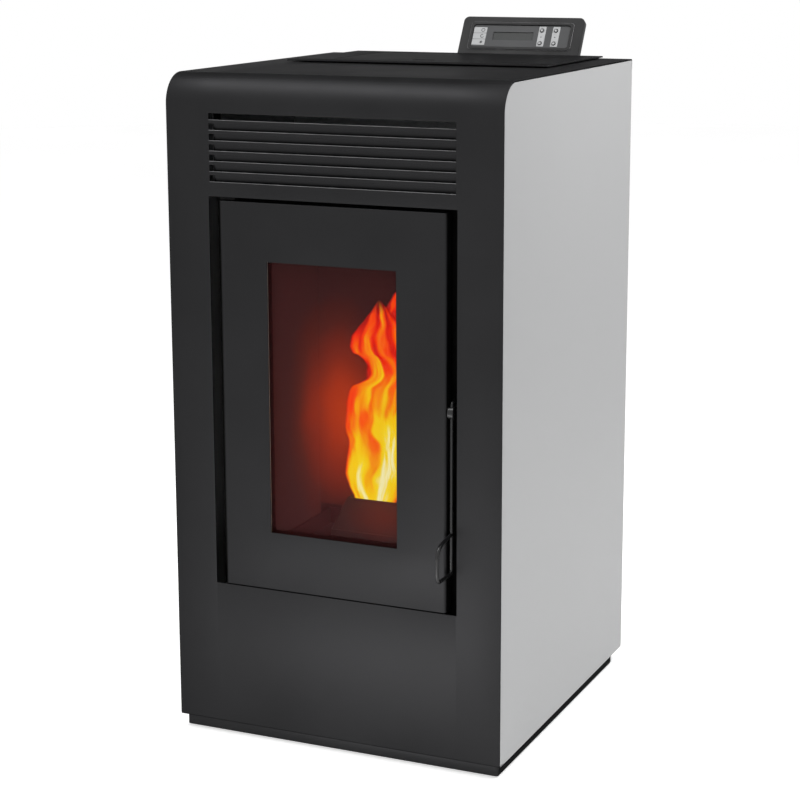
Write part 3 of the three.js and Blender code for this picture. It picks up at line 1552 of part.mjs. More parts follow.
const bezelX = bezelWidth / 2;
const bezelTop = bezelBottom + bezelHeight;
const fasciaX = bezelX - bezelRim;
const fasciaLow = bezelBottom + bezelRim;
const fasciaHigh = bezelTop - bezelRim;
const fasciaFace = bezelProud - fasciaSink - 1;
const buttonZ0 = fasciaFace - fasciaSheet - buttonTravel - 2;

function buttonPlaces() {
  const midY = (fasciaLow + fasciaHigh) / 2;
  const places = [];
  for (let column = 0; column < 2; column += 1) {
    for (let row = 0; row < 2; row += 1) {
      const x = fasciaX - buttonFromRight + 8.9 + column * buttonColumnPitch;
      places.push([x, midY + (0.5 - row) * buttonRowPitch]);
    }
  }
  return places;
}

function consoleOutline() {
  const x = consoleWidth / 2;
  const shape = new THREE.Shape();
  shape.moveTo(-x, 0);
  shape.lineTo(x, 0);
  shape.absarc(x - consoleCorner, consoleHeight - consoleCorner, consoleCorner, 0, Math.PI / 2, false);
  shape.absarc(-x + consoleCorner, consoleHeight - consoleCorner, consoleCorner, Math.PI / 2, Math.PI, false);
  shape.closePath();
  return shape;
}

function buildConsole() {
  const bezel = roundedRect(-bezelX, bezelX, bezelBottom, bezelTop, 5);
  const pocket = roundedRect(-fasciaX, fasciaX, fasciaLow, fasciaHigh, 4);
  const footX = 60;
  const footUp = (y, z) => {
    const p = new THREE.Vector3(0, y - rearY - consoleGap, z - topZ);
    return p.applyAxisAngle(new THREE.Vector3(1, 0, 0), -consoleTilt);
  };
  const footPoints = [[rearY + consoleGap, topZ - 26], [rearY + consoleGap + 2.5, topZ - 26],
    [rearY + consoleGap + 2.5, topZ - 1], [rearY + consoleGap, topZ - 1]].map(([y, z]) => footUp(y, z));
  const foot = prism('yz', polygon(footPoints.map((p) => [p.y, p.z])), -footX, footX);
  const body = join(
    prism('xy', consoleOutline(), -consoleDepth, 0, 5),
    prism('xy', bezel, -1, bezelProud, 4),
    foot,
  );
  return cut(body, prism('xy', pocket, buttonZ0 - fit, bezelProud + 1, 4));
}

function buildFascia() {
  const plate = roundedRect(-fasciaX + fit, fasciaX - fit, fasciaLow + fit, fasciaHigh - fit, 3.7);
  let fascia = prism('xy', plate, fasciaFace - fasciaSheet, fasciaFace, 3);
  const ledge = prism('xy', plate, buttonZ0, fasciaFace - fasciaSheet + 0.5, 3);
  const hollow = roundedRect(-fasciaX + 3, fasciaX - 3, fasciaLow + 3, fasciaHigh - 3, 2);
  fascia = join(fascia, cut(ledge, prism('xy', hollow, buttonZ0 - 1, fasciaFace, 1)));
  const midY = (fasciaLow + fasciaHigh) / 2;
  fascia = cut(fascia, box(displayX - displayWidth / 2, displayX + displayWidth / 2,
    midY - displayHeight / 2, midY + displayHeight / 2, buttonZ0 - 1, fasciaFace + 1));
  for (const [x, y] of buttonPlaces()) {
    fascia = cut(fascia, rod('xy', x, y, buttonRadius + fit, buttonZ0 - 1, fasciaFace + 1, 6));
  }
  return fascia;
}

function buildDisplay() {
  const midY = (fasciaLow + fasciaHigh) / 2;
  return join(
    box(displayX - displayWidth / 2 + fit, displayX + displayWidth / 2 - fit, midY - displayHeight / 2 + fit,
      midY + displayHeight / 2 - fit, fasciaFace - fasciaSheet - 0.6, fasciaFace - 0.8),
    box(displayX - displayWidth / 2 - 2, displayX + displayWidth / 2 + 2, midY - displayHeight / 2 - 2,
      midY + displayHeight / 2 + 2, fasciaFace - fasciaSheet - 1.8, fasciaFace - fasciaSheet - fit),
  );
}

function buildButton() {
  return join(
    rod('xy', 0, 0, buttonRadius, -fasciaSheet - 0.5, buttonProud, 6),
    rod('xy', 0, 0, buttonRadius + 1.2, -fasciaSheet - 1.2, -fasciaSheet - fit, 4),
  );
}

addPart('console_housing', buildConsole(), darkPlastic(), consoleGroup);
addPart('control_fascia', buildFascia(), darkPlastic(), consoleGroup);
addPart('display_window', buildDisplay(), darkPlastic(), consoleGroup);
buttonPlaces().forEach(([x, y], i) => {
  const mesh = addPart(`button_${i + 1}`, buildButton(), palePlastic(), consoleGroup);
  mesh.position.set(x, y, fasciaFace);
});

// ---------- control board box, mains inlet and switch ----------

function buildBoardBox() {
  const x1 = halfWidth - sideSheet - fit;
  const x0 = x1 - boardBoxThickness;
  const y1 = backInnerY - boardBoxRearGap;
  const y0 = y1 - boardBoxLength;
  const z0 = boardBoxBottom;
  const z1 = z0 + boardBoxHeight;
  const lidX = x0 - boardBoxLidStep;
  const ventInset = 5 * boardBoxLidInset;
  let boardBox = join(
    box(x0, x1, y0, y1, z0, z1),
    box(lidX, x0 + 1, y0 + boardBoxLidInset, y1 - boardBoxLidInset, z0 + boardBoxLidInset,
      z1 - boardBoxLidInset),
  );
  for (let row = 0; row < boardVentRows; row += 1) {
    const ventZ = z0 + 1.5 * ventInset + row * boardVentPitch;
    boardBox = cut(boardBox, box(lidX - 1, lidX + 2, y0 + ventInset, y1 - ventInset, ventZ, ventZ + 6));
  }
  return boardBox;
}

const bayHeight = 24;
const socketTop = 28;

function buildInlet() {
  const x = inletWidth / 2;
  const y0 = backOuterY + fit;
  const flange = roundedRect(-x, x, 0, inletFlangeHeight, 4);
  const bodyX = x - 4 - fit;
  const z0 = 4 + fit;
  const z1 = inletFlangeHeight - 4 - fit;
  const blades = [[-7, 11], [7, 11], [0, 17]].map(([bx, bz]) => (
    box(bx - 1, bx + 1, y0 - 14, y0 - 3, bz - 3, bz + 3)));
  const shell = cut(
    join(
      prism('xz', flange, y0, y0 + 2.5, 3),
      box(-bodyX, bodyX, backInnerY - 16, y0 + 1, z0, z1),
    ),
    prism('xz', roundedRect(-12, 12, 6, 6 + 16, 3), y0 - 14, y0 + 4, 3),
    box(-11, 11, y0 - 12, y0 + 4, socketTop + 2, socketTop + 2 + bayHeight),
  );
  return join(shell, ...blades);
}

function buildRocker() {
  const halfHeight = bayHeight / 2 - 1.2;
  return join(
    prism('yz', polygon([
      [-8, -halfHeight + 2], [3.4, -halfHeight], [1.6, 0], [3.4, halfHeight], [-8, halfHeight - 2],
    ]), -10.4, 10.4),
  );
}

addPart('control_board_box', buildBoardBox(), palePlastic());
const inlet = new THREE.Group();
inlet.position.set(inletX, 0, inletHeight);
stove.add(inlet);
addPart('power_inlet', buildInlet(), blackRubber(), inlet);
const rocker = addPart('power_rocker', buildRocker(), blackRubber(), inlet);
rocker.position.set(0, backOuterY + fit, socketTop + 2 + bayHeight / 2);

export default stove;
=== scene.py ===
# Pellet stove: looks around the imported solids. Metres, X to the viewer's right, Y back, Z up.
import bpy
import bmesh
import json
import math
from mathutils import Matrix, Vector, noise


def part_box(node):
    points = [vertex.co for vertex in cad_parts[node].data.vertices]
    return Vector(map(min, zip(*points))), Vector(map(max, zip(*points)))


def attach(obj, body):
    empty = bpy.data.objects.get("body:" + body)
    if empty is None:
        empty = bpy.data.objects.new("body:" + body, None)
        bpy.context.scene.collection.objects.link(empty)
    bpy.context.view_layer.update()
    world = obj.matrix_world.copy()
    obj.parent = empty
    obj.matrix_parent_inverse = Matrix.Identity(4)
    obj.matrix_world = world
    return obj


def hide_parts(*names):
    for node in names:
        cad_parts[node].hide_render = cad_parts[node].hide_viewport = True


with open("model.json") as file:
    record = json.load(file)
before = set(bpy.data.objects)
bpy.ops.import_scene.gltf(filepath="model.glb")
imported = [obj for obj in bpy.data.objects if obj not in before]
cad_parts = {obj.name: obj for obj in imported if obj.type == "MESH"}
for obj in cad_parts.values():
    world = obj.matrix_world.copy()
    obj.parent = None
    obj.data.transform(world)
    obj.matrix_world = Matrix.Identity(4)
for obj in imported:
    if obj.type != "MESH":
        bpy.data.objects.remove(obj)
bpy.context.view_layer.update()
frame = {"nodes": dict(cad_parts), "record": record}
nodes = frame["nodes"]
scene = bpy.context.scene
print("frame loaded,", len(nodes), "nodes")

mm = 0.001


# Millimetres to metres, also through lists and dictionaries
def metres(value):
    if isinstance(value, dict):
        return {key: metres(item) for key, item in value.items()}
    if isinstance(value, (list, tuple)):
        return type(value)(metres(item) for item in value)
    return value * mm


def addObject(name, data):
    thing = bpy.data.objects.new(name, data)
    scene.collection.objects.link(thing)
    return thing


# The camera stands right of the middle and a little above the top, on a long lens
camera = {
    "place": (1.1336, -2.5676, 1.0789),
    "turnDeg": 24.111,
    "downDeg": 11.575,
    "rollDeg": -0.179,
    "lens": 91.9,
    "shiftUp": -0.0625,
}


def makeCamera():
    data = bpy.data.cameras.new("camera")
    data.sensor_width = 36.0
    data.lens = camera["lens"]
    data.shift_y = camera["shiftUp"]
    data.clip_start, data.clip_end = 0.05, 60.0
    scene.camera = addObject("camera", data)
    turn, down, roll = (math.radians(camera[key]) for key in ("turnDeg", "downDeg", "rollDeg"))
    ahead = Vector((-math.sin(turn) * math.cos(down), math.cos(turn) * math.cos(down), -math.sin(down)))
    right = Vector((math.cos(turn), math.sin(turn), 0.0))
    up = right.cross(ahead)
    rolledRight = math.cos(roll) * right + math.sin(roll) * up
    rolledUp = math.cos(roll) * up - math.sin(roll) * right
    axes = Matrix((rolledRight, rolledUp, -ahead)).transposed()
    scene.camera.matrix_world = Matrix.Translation(camera["place"]) @ axes.to_4x4()


makeCamera()
print("camera set")


def newFinish(name):
    material = bpy.data.materials.new(name)
    material.use_nodes = True
    tree = material.node_tree
    return material, tree, tree.nodes["Principled BSDF"]


# Links sockets and sets plain values
def feed(tree, node, inputs):
    for key, value in inputs.items():
        if isinstance(value, bpy.types.NodeSocket):
            tree.links.new(value, node.inputs[key])
        else:
            node.inputs[key].default_value = value


def addNode(tree, kind, inputs=None, **settings):
    node = tree.nodes.new("ShaderNode" + kind)
    for key, value in settings.items():
        setattr(node, key, value)
    feed(tree, node, inputs or {})
    return node


def objectPlace(tree, scale=(1.0, 1.0, 1.0)):
    coords = addNode(tree, "TexCoord")
    return addNode(tree, "Mapping", {"Vector": coords.outputs["Object"], "Scale": scale}).outputs[0]


def cloudy(tree, place, scale, detail=2.0, roughness=0.5):
    return addNode(tree, "TexNoise", {
        "Vector": place, "Scale": scale, "Detail": detail, "Roughness": roughness}).outputs["Fac"]


def toneRamp(tree, factor, stops):
    ramp = addNode(tree, "ValToRGB", {"Fac": factor})
    band = ramp.color_ramp
    while len(band.elements) < len(stops):
        band.elements.new(0.5)
    for element, (at, color) in zip(band.elements, stops):
        element.position = at
        element.color = (*color, 1.0)
    return ramp.outputs["Color"]


def shade(color, by):
    return tuple(min(1.0, channel * by) for channel in color)


# One colour, darker and lighter along the factor
def tones(tree, factor, color, *stops):
    return toneRamp(tree, factor, [(at, shade(color, by)) for at, by in stops])


def spread(tree, factor, low, high, inLow=0.3, inHigh=0.7):
    return addNode(tree, "MapRange", {
        "Value": factor, "From Min": inLow, "From Max": inHigh, "To Min": low, "To Max": high}).outputs[0]


def sums(tree, kind, first, second):
    return addNode(tree, "Math", {0: first, 1: second}, operation=kind).outputs[0]


def vectors(tree, kind, first, second):
    return addNode(tree, "VectorMath", {0: first, 1: second}, operation=kind).outputs[0]


def blend(tree, first, second, share):
    return sums(tree, "ADD", sums(tree, "MULTIPLY", first, share), sums(tree, "MULTIPLY", second, 1.0 - share))


# How far a place lies from a middle, each axis stretched by its own factor
def distanceFrom(tree, place, middle, stretch):
    sized = vectors(tree, "MULTIPLY", vectors(tree, "SUBTRACT", place, middle), stretch)
    return addNode(tree, "VectorMath", {0: sized}, operation="LENGTH").outputs["Value"]


def bumped(tree, height, strength, distance):
    return addNode(tree, "Bump", {
        "Height": height, "Strength": strength, "Distance": distance}).outputs["Normal"]


# Firelight on a surface, brightest at glowAt
def fireGlow(tree, shader, look, drift=None):
    away = distanceFrom(tree, addNode(tree, "TexCoord").outputs["Object"], look["glowAt"], look["glowSpan"])
    if drift is not None:
        away = sums(tree, "ADD", away, drift)
    feed(tree, shader, {"Emission Color": toneRamp(tree, away, look["glow"]), "Emission Strength": 1.0})


# Baked paint: fine orange-peel skin, slow drift of tone, a little dust and rub
def paintFinish(name, look):
    look = {"grainScale": 1500.0, "metallic": 0.0, "specular": 0.4, "tint": 1.0, **look}
    material, tree, shader = newFinish(name)
    place = objectPlace(tree)
    slow = cloudy(tree, place, look["driftScale"], 3.0)
    fine = cloudy(tree, place, look["grainScale"], 2.0, 0.6)
    low, high = look["tones"]
    feed(tree, shader, {
        "Base Color": tones(tree, blend(tree, slow, fine, 0.65), look["color"], (0.34, low), (0.66, high)),
        "Roughness": spread(tree, slow, *look["roughness"]),
        "Metallic": look["metallic"],
        "Specular IOR Level": look["specular"],
        "Specular Tint": (look["tint"], look["tint"], look["tint"], 1.0),
        "Normal": bumped(tree, fine, look["bump"], 0.0002)})
    return material


# Zinc sheet: crystal spangle in tone and gloss
def zincFinish(name, look):
    material, tree, shader = newFinish(name)
    place = objectPlace(tree)
    spangle = addNode(tree, "TexVoronoi", {"Vector": place, "Scale": look["spangleScale"]})
    cell = addNode(tree, "SeparateColor", {"Color": spangle.outputs["Color"]}).outputs[0]
    slow = cloudy(tree, place, 60.0, 4.0)
    mixed = blend(tree, cell, slow, 0.5)
    feed(tree, shader, {
        "Base Color": tones(tree, mixed, look["color"], (0.2, 0.94), (0.8, 1.05)),
        "Roughness": spread(tree, mixed, *look["roughness"], 0.2, 0.8),
        "Metallic": look["metallic"],
        "Normal": bumped(tree, slow, 0.1, 0.0003)})
    return material


# Cast iron and welded plate: coarse pores with soot and rust in the hollows
def castFinish(name, look):
    material, tree, shader = newFinish(name)
    place = objectPlace(tree)
    coarse = cloudy(tree, place, 420.0, 6.0, 0.7)
    slow = cloudy(tree, place, 35.0, 2.0)
    feed(tree, shader, {
        "Base Color": toneRamp(tree, slow, [
            (0.3, shade(look["color"], 0.75)), (0.55, look["color"]), (0.75, look["rust"])]),
        "Roughness": spread(tree, coarse, *look["roughness"]),
        "Metallic": look["metallic"],
        "Normal": bumped(tree, coarse, look["bump"], 0.0006)})
    if "glow" in look:
        fireGlow(tree, shader, look)
    return material


# Moulded plastic, foil or rubber: spark-eroded grain
def mouldedFinish(name, look):
    look = {"specular": 0.4, **look}
    material, tree, shader = newFinish(name)
    place = objectPlace(tree)
    grain = addNode(tree, "TexVoronoi", {"Vector": place, "Scale": look["grainScale"]}).outputs["Distance"]
    slow = cloudy(tree, place, 25.0, 3.0)
    feed(tree, shader, {
        "Base Color": tones(tree, slow, look["color"], (0.35, 0.92), (0.65, 1.08)),
        "Roughness": spread(tree, slow, *look["roughness"]),
        "Specular IOR Level": look["specular"],
        "Normal": bumped(tree, grain, look["bump"], 0.0002)})
    return material


# Knitted glass-fibre rope: crossed strands
def ropeFinish(name, look):
    material, tree, shader = newFinish(name)
    strands = []
    for lean in ((1.0, 1.0, 1.0), (-1.0, 1.0, 1.0)):
        wave = addNode(tree, "TexWave", {
            "Vector": objectPlace(tree, lean), "Scale": look["strandScale"], "Distortion": 1.5},
            bands_direction="DIAGONAL")
        strands.append(wave.outputs["Fac"])
    weave = sums(tree, "MAXIMUM", *strands)
    feed(tree, shader, {
        "Base Color": tones(tree, weave, look["color"], (0.1, 0.55), (0.8, 1.15)),
        "Roughness": 0.95,
        "Normal": bumped(tree, weave, 0.8, 0.0008)})
    return material


# Pressed refractory board, lit red by the fire from its middle outwards
def refractoryFinish(name, look):
    material, tree, shader = newFinish(name)
    place = objectPlace(tree)
    grain = cloudy(tree, place, 160.0, 5.0, 0.65)
    slow = cloudy(tree, place, 9.0, 3.0)
    feed(tree, shader, {
        "Base Color": tones(tree, slow, look["color"], (0.3, 0.8), (0.7, 1.15)),
        "Roughness": 0.9,
        "Normal": bumped(tree, grain, 0.35, 0.0006)})
    fireGlow(tree, shader, look, spread(tree, slow, -0.07, 0.07))
    return material


# Thin ceramic glass: a red-brown film over clear, with a few wipe marks; the film is partly the glass's own tint and
# partly painted light, the red of the firelit inside
def glassFinish(name, look):
    material, tree, shader = newFinish(name)
    smear = cloudy(tree, objectPlace(tree, (1.0, 1.0, 0.25)), 18.0, 4.0)
    feed(tree, shader, {
        "Base Color": tones(tree, smear, look["color"], (0.3, 0.9), (0.7, 1.1)),
        "Roughness": spread(tree, smear, *look["roughness"]),
        "Alpha": spread(tree, smear, *look["cover"]),
        "IOR": 1.5,
        "Specular IOR Level": look["specular"]})
    return material


# Glowing pellets, dark where they have cooled
def emberFinish(name, look):
    material, tree, shader = newFinish(name)
    heat = cloudy(tree, objectPlace(tree), 90.0, 3.0)
    feed(tree, shader, {
        "Base Color": toneRamp(tree, heat, look["ash"]),
        "Emission Color": toneRamp(tree, heat, look["glow"]),
        "Emission Strength": 1.0,
        "Roughness": 0.9,
        "Normal": bumped(tree, heat, 0.5, 0.001)})
    return material


finishes = {
    paintFinish: {
        "blackPaint": {
            "slot": "black_paint", "color": (0.027, 0.027, 0.028), "tones": (0.88, 1.12), "driftScale": 7.0,
            "roughness": (0.46, 0.56), "metallic": 0.92, "specular": 0.2, "tint": 0.05, "bump": 0.14},
        # lighter paint for thin beads along edges: painted highlights
        "paintedHighlight": {
            "slot": "black_paint", "color": (0.22, 0.22, 0.225), "tones": (0.7, 1.3), "driftScale": 60.0,
            "roughness": (0.3, 0.5), "metallic": 0.5, "bump": 0.10},
        "wirePaint": {
            "slot": "black_paint", "color": (0.010, 0.010, 0.0105), "tones": (0.9, 1.1), "driftScale": 20.0,
            "roughness": (0.22, 0.32), "bump": 0.06},
        "silverPaint": {
            "slot": "silver_paint", "color": (0.385, 0.387, 0.391), "tones": (0.965, 1.035), "driftScale": 3.0,
            "grainScale": 2200.0, "roughness": (0.40, 0.48), "metallic": 0.35, "bump": 0.08},
        "stovePaint": {
            "slot": "stove_paint", "color": (0.010, 0.0095, 0.0095), "tones": (0.8, 1.2), "driftScale": 12.0,
            "grainScale": 900.0, "roughness": (0.62, 0.78), "specular": 0.15, "bump": 0.3},
    },
    zincFinish: {
        "zincSheet": {"slot": "zinc_sheet", "color": (0.46, 0.47, 0.48), "spangleScale": 420.0,
            "roughness": (0.34, 0.5), "metallic": 0.85},
    },
    castFinish: {
        "castIron": {"slot": "cast_iron", "color": (0.075, 0.07, 0.066), "rust": (0.12, 0.07, 0.045),
            "roughness": (0.55, 0.8), "metallic": 0.5, "bump": 0.5},
        "potIron": {"slot": "cast_iron", "color": (0.045, 0.042, 0.04), "rust": (0.07, 0.045, 0.035),
            "roughness": (0.5, 0.75), "metallic": 0.3, "bump": 0.45,
            "glowAt": (0.022, -0.13, 0.300), "glowSpan": (16.0, 0.0, 30.0),
            "glow": [(0.0, (0.15, 0.016, 0.003)), (0.5, (0.085, 0.011, 0.004)), (1.0, (0.010, 0.009, 0.008))]},
    },
    mouldedFinish: {
        "blackRubber": {"slot": "black_rubber", "color": (0.016, 0.016, 0.016), "grainScale": 900.0,
            "roughness": (0.7, 0.85), "specular": 0.3, "bump": 0.2},
        "blackPlastic": {"slot": "black_plastic", "color": (0.014, 0.014, 0.015), "grainScale": 1400.0,
            "roughness": (0.45, 0.56), "specular": 0.3, "bump": 0.12},
        "consolePlastic": {"slot": "dark_plastic", "color": (0.0125, 0.0125, 0.013), "grainScale": 1600.0,
            "roughness": (0.5, 0.6), "specular": 0.2, "bump": 0.08},
        "fasciaFoil": {"slot": "dark_plastic", "color": (0.050, 0.051, 0.053), "grainScale": 2400.0,
            "roughness": (0.4, 0.5), "specular": 0.18, "bump": 0.05},
        "palePlastic": {"slot": "pale_plastic", "color": (0.36, 0.365, 0.37), "grainScale": 1600.0,
            "roughness": (0.38, 0.48), "bump": 0.08},
        "stripFoil": {"slot": "pale_plastic", "color": (0.33, 0.335, 0.34), "grainScale": 2400.0,
            "roughness": (0.32, 0.42), "bump": 0.05},
        "displayCover": {"slot": "display_plastic", "color": (0.026, 0.028, 0.0275), "grainScale": 3000.0,
            "roughness": (0.3, 0.38), "specular": 0.12, "bump": 0.02},
    },
    ropeFinish: {
        "ropeFibre": {"slot": "rope_fibre", "color": (0.30, 0.29, 0.27), "strandScale": 260.0},
    },
    refractoryFinish: {
        # its near-black base colour is painted shade of the closed firebox; the red on it is the firelight glow
        "refractory": {"slot": "firebrick", "color": (0.018, 0.009, 0.009),
            "glowAt": (-0.106, -0.006, 0.405), "glowSpan": (11.5, 9.0, 5.7),
            "glow": [(0.0, (1.0, 0.074, 0.0)), (0.25, (0.80, 0.056, 0.001)), (0.50, (0.39, 0.028, 0.004)),
                (0.75, (0.10, 0.013, 0.006)), (1.0, (0.012, 0.0058, 0.0062))]},
    },
    glassFinish: {
        # the red-brown is partly the glass's tint and partly painted firelight from inside
        "fireGlass": {"slot": "fire_glass", "color": (0.068, 0.0165, 0.0170), "roughness": (0.10, 0.16),
            "specular": 0.06, "cover": (0.38, 0.42)},
    },
    emberFinish: {
        "embers": {"slot": "cast_iron", "ash": [(0.35, (0.03, 0.012, 0.01)), (0.65, (0.12, 0.05, 0.03))],
            "glow": [(0.3, (0.25, 0.01, 0.0)), (0.55, (1.0, 0.16, 0.01)), (0.75, (1.0, 0.5, 0.06))]},
    },
}

paints = finishes[paintFinish]
# the stove paint made near black and without gloss: painted shade for parts deep in the firebox
paints["sootPaint"] = {**paints["stovePaint"], "color": (0.0022, 0.0016, 0.0016), "specular": 0.0}
materials, slotOf, slotFinish = {}, {}, {}


def addFinish(make, name, look):
    materials[name] = make(name, look)
    slotOf[name] = look["slot"]
    slotFinish.setdefault(look["slot"], name)       # the first finish of a slot dresses its CAD nodes


for make, looks in finishes.items():
    for name, look in looks.items():
        addFinish(make, name, look)

for part in frame["record"]["subparts"]:
    mesh = nodes[part["node"]].data
    mesh.materials.clear()
    mesh.materials.append(materials[slotFinish[part["material_slot"]]])
for name in ("pot_carrier", "ash_pan"):       # darkened to near black: painted shade of the dim firebox
    nodes[name].data.materials[0] = materials["sootPaint"]
print("finishes ready,", len(bpy.data.materials), "materials")


def finishPiece(piece, finish, body, replacing=None, smoothDeg=32.0):
    mesh = piece.data
    mesh.materials.clear()
    mesh.materials.append(materials[finish])
    mesh.shade_smooth()
    mesh.set_sharp_from_angle(angle=math.radians(smoothDeg))
    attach(piece, body)
    if replacing:
        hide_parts(replacing)


def pieceFromBmesh(name, shape, turnOut=True):
    mesh = bpy.data.meshes.new(name)
    if turnOut:
        bmesh.ops.recalc_face_normals(shape, faces=shape.faces)
    shape.to_mesh(mesh)
    shape.free()
    return addObject(name, mesh)


def meshOf(thing):
    bpy.context.view_layer.update()
    return bpy.data.meshes.new_from_object(thing.evaluated_get(bpy.context.evaluated_depsgraph_get()))


def bevelEdges(piece, width):
    bevel = piece.modifiers.new("edges", "BEVEL")
    bevel.width = width
    bevel.segments = 2
    bevel.limit_method = "ANGLE"
    bevel.angle_limit = math.radians(40.0)


def arcPoints(centre, radius, fromDeg, toDeg, count):
    points = []
    for i in range(count + 1):
        angle = math.radians(fromDeg + (toDeg - fromDeg) * i / count)
        points.append((centre[0] + radius * math.cos(angle), centre[1] + radius * math.sin(angle)))
    return points


# A folded sheet: path points across, stations along an axis; openings lie between two points and two stations
def foldedSheet(name, path, axis, stations, openings, thickness, edge, flip=False):
    lengths = [0.0]
    for a, b in zip(path, path[1:]):
        lengths.append(lengths[-1] + math.dist(a, b))
    at = dict(zip(path, lengths))
    shape = bmesh.new()
    rows = [[shape.verts.new((*p[:axis], s, *p[axis:])) for s in stations] for p in path]
    for i in range(len(path) - 1):
        for j in range(len(stations) - 1):
            u, v = (lengths[i] + lengths[i + 1]) / 2, (stations[j] + stations[j + 1]) / 2
            if any(at[a] < u < at[b] and v0 < v < v1 for a, b, v0, v1 in openings):
                continue
            corners = [rows[i][j], rows[i + 1][j], rows[i + 1][j + 1], rows[i][j + 1]]
            shape.faces.new(corners[::-1] if flip else corners)
    bmesh.ops.delete(shape, geom=[v for v in shape.verts if not v.link_faces], context="VERTS")
    piece = pieceFromBmesh(name, shape, False)
    solid = piece.modifiers.new("sheet", "SOLIDIFY")
    solid.thickness = thickness
    solid.offset = -1.0
    solid.use_even_offset = True
    bevelEdges(piece, edge)
    return piece


def boxInto(shape, low, high):
    corners = [shape.verts.new((x, y, z)) for x in (low[0], high[0]) for y in (low[1], high[1])
        for z in (low[2], high[2])]
    for face in ((0, 1, 3, 2), (4, 6, 7, 5), (0, 4, 5, 1), (2, 3, 7, 6), (0, 2, 6, 4), (1, 5, 7, 3)):
        shape.faces.new([corners[i] for i in face])


# Straight bars and plates with eased edges, joined in one piece
def barPiece(name, boxes, edge):
    shape = bmesh.new()
    for low, high in boxes:
        boxInto(shape, low, high)
    piece = pieceFromBmesh(name, shape)
    bevelEdges(piece, edge)
    return piece


# Faces between neighbouring rings of vertices
def skin(shape, rings):
    for a, b in zip(rings, rings[1:]):
        for k in range(len(a)):
            n = (k + 1) % len(a)
            shape.faces.new([a[k], a[n], b[n], b[k]])


# A section in Y and Z drawn out along X
def extrudeInto(shape, section, x0, x1):
    ends = [[shape.verts.new((x, y, z)) for y, z in section] for x in (x0, x1)]
    shape.faces.new(ends[0][::-1])
    shape.faces.new(ends[1])
    skin(shape, ends)


def roundedOutline(field, radius, count=6, inset=0.0):
    x0, x1, y0, y1 = field
    left, right, bottom, top = x0 + inset + radius, x1 - inset - radius, y0 + inset + radius, y1 - inset - radius
    points = []
    for centre, start in (((right, top), 0), ((left, top), 90), ((left, bottom), 180), ((right, bottom), 270)):
        points += arcPoints(centre, radius, start, start + 90, count)
    return points


def circleOutline(x, y, radius, count=28):
    return arcPoints((x, y), radius, 0, 360, count)[:-1]


def pieceFromCurve(name, curve, lines, closed, place):
    for line in lines:
        spline = curve.splines.new("POLY")
        spline.points.add(len(line) - 1)
        for point, at in zip(spline.points, line):
            point.co = (*at, 1.0)
        spline.use_cyclic_u = closed
    drawn = addObject(name + "Outline", curve)
    mesh = meshOf(drawn)
    bpy.data.objects.remove(drawn)
    bpy.data.curves.remove(curve)
    mesh.name = name
    mesh.transform(place)
    return addObject(name, mesh)


# A flat plate with holes and eased edges, drawn in its own plane; place takes it into the frame
def platePiece(name, outlines, low, high, edge, place=Matrix.Identity(4)):
    curve = bpy.data.curves.new(name, "CURVE")
    curve.dimensions = "2D"
    curve.fill_mode = "BOTH"
    curve.extrude = (high - low) / 2 - edge
    curve.bevel_depth = edge
    curve.bevel_resolution = 1
    curve.offset = -edge
    lines = [[(x, y, 0.0) for x, y in outline] for outline in outlines]
    return pieceFromCurve(name, curve, lines, True, place @ Matrix.Translation((0.0, 0.0, (low + high) / 2)))


# A round bar along points, with closed ends
def wirePiece(name, points, radius, sides=8, closed=False):
    curve = bpy.data.curves.new(name, "CURVE")
    curve.dimensions = "3D"
    curve.bevel_depth = radius
    curve.bevel_resolution = sides // 4
    curve.use_fill_caps = True
    return pieceFromCurve(name, curve, [points], closed, Matrix.Identity(4))


# A turned part: radius and height pairs about an axis
def turnedPiece(name, profile, place, steps=48):
    shape = bmesh.new()
    rings = []
    for radius, height in profile:
        if radius < 1e-6:
            rings.append([shape.verts.new((0.0, 0.0, height))])
        else:
            angles = [2 * math.pi * k / steps for k in range(steps)]
            rings.append([shape.verts.new((radius * math.cos(a), radius * math.sin(a), height)) for a in angles])
    for a, b in zip(rings, rings[1:]):
        for k in range(steps):
            n = (k + 1) % steps
            corners = [a[k % len(a)], a[n % len(a)], b[n % len(b)], b[k % len(b)]]
            unique = [v for i, v in enumerate(corners) if v not in corners[:i]]
            if len(unique) > 2:
                shape.faces.new(unique)
    shape.transform(place)
    return pieceFromBmesh(name, shape)


def joinInto(first, *others):
    shape = bmesh.new()
    for piece in (first, *others):
        shape.from_mesh(piece.data)
    mesh = bpy.data.meshes.new(first.name + "Joined")
    shape.to_mesh(mesh)
    shape.free()
    spent = [first.data, *(piece.data for piece in others)]
    first.data = mesh
    for piece in others:
        bpy.data.objects.remove(piece)
    for data in spent:
        bpy.data.meshes.remove(data)


casing = metres({
    "bend": 40,
    "sheet": 2,
    "lip": 15,
    "foldRadius": 2.6,
    "edge": 0.45,
    "slotTop": 850,
    "slotPitch": 13.4,
    "slotHeight": 8.7,
    "slotX": 173.5,
    "openingX": 175.5,
    "openingZ": (216, 741.9),
    "mouthX": 142,
    "mouthY": (55.5, 233.5),
})
slotCount = 7


def slotRows():
    for row in range(slotCount):
        top = casing["slotTop"] - row * casing["slotPitch"]
        yield top - casing["slotHeight"], top


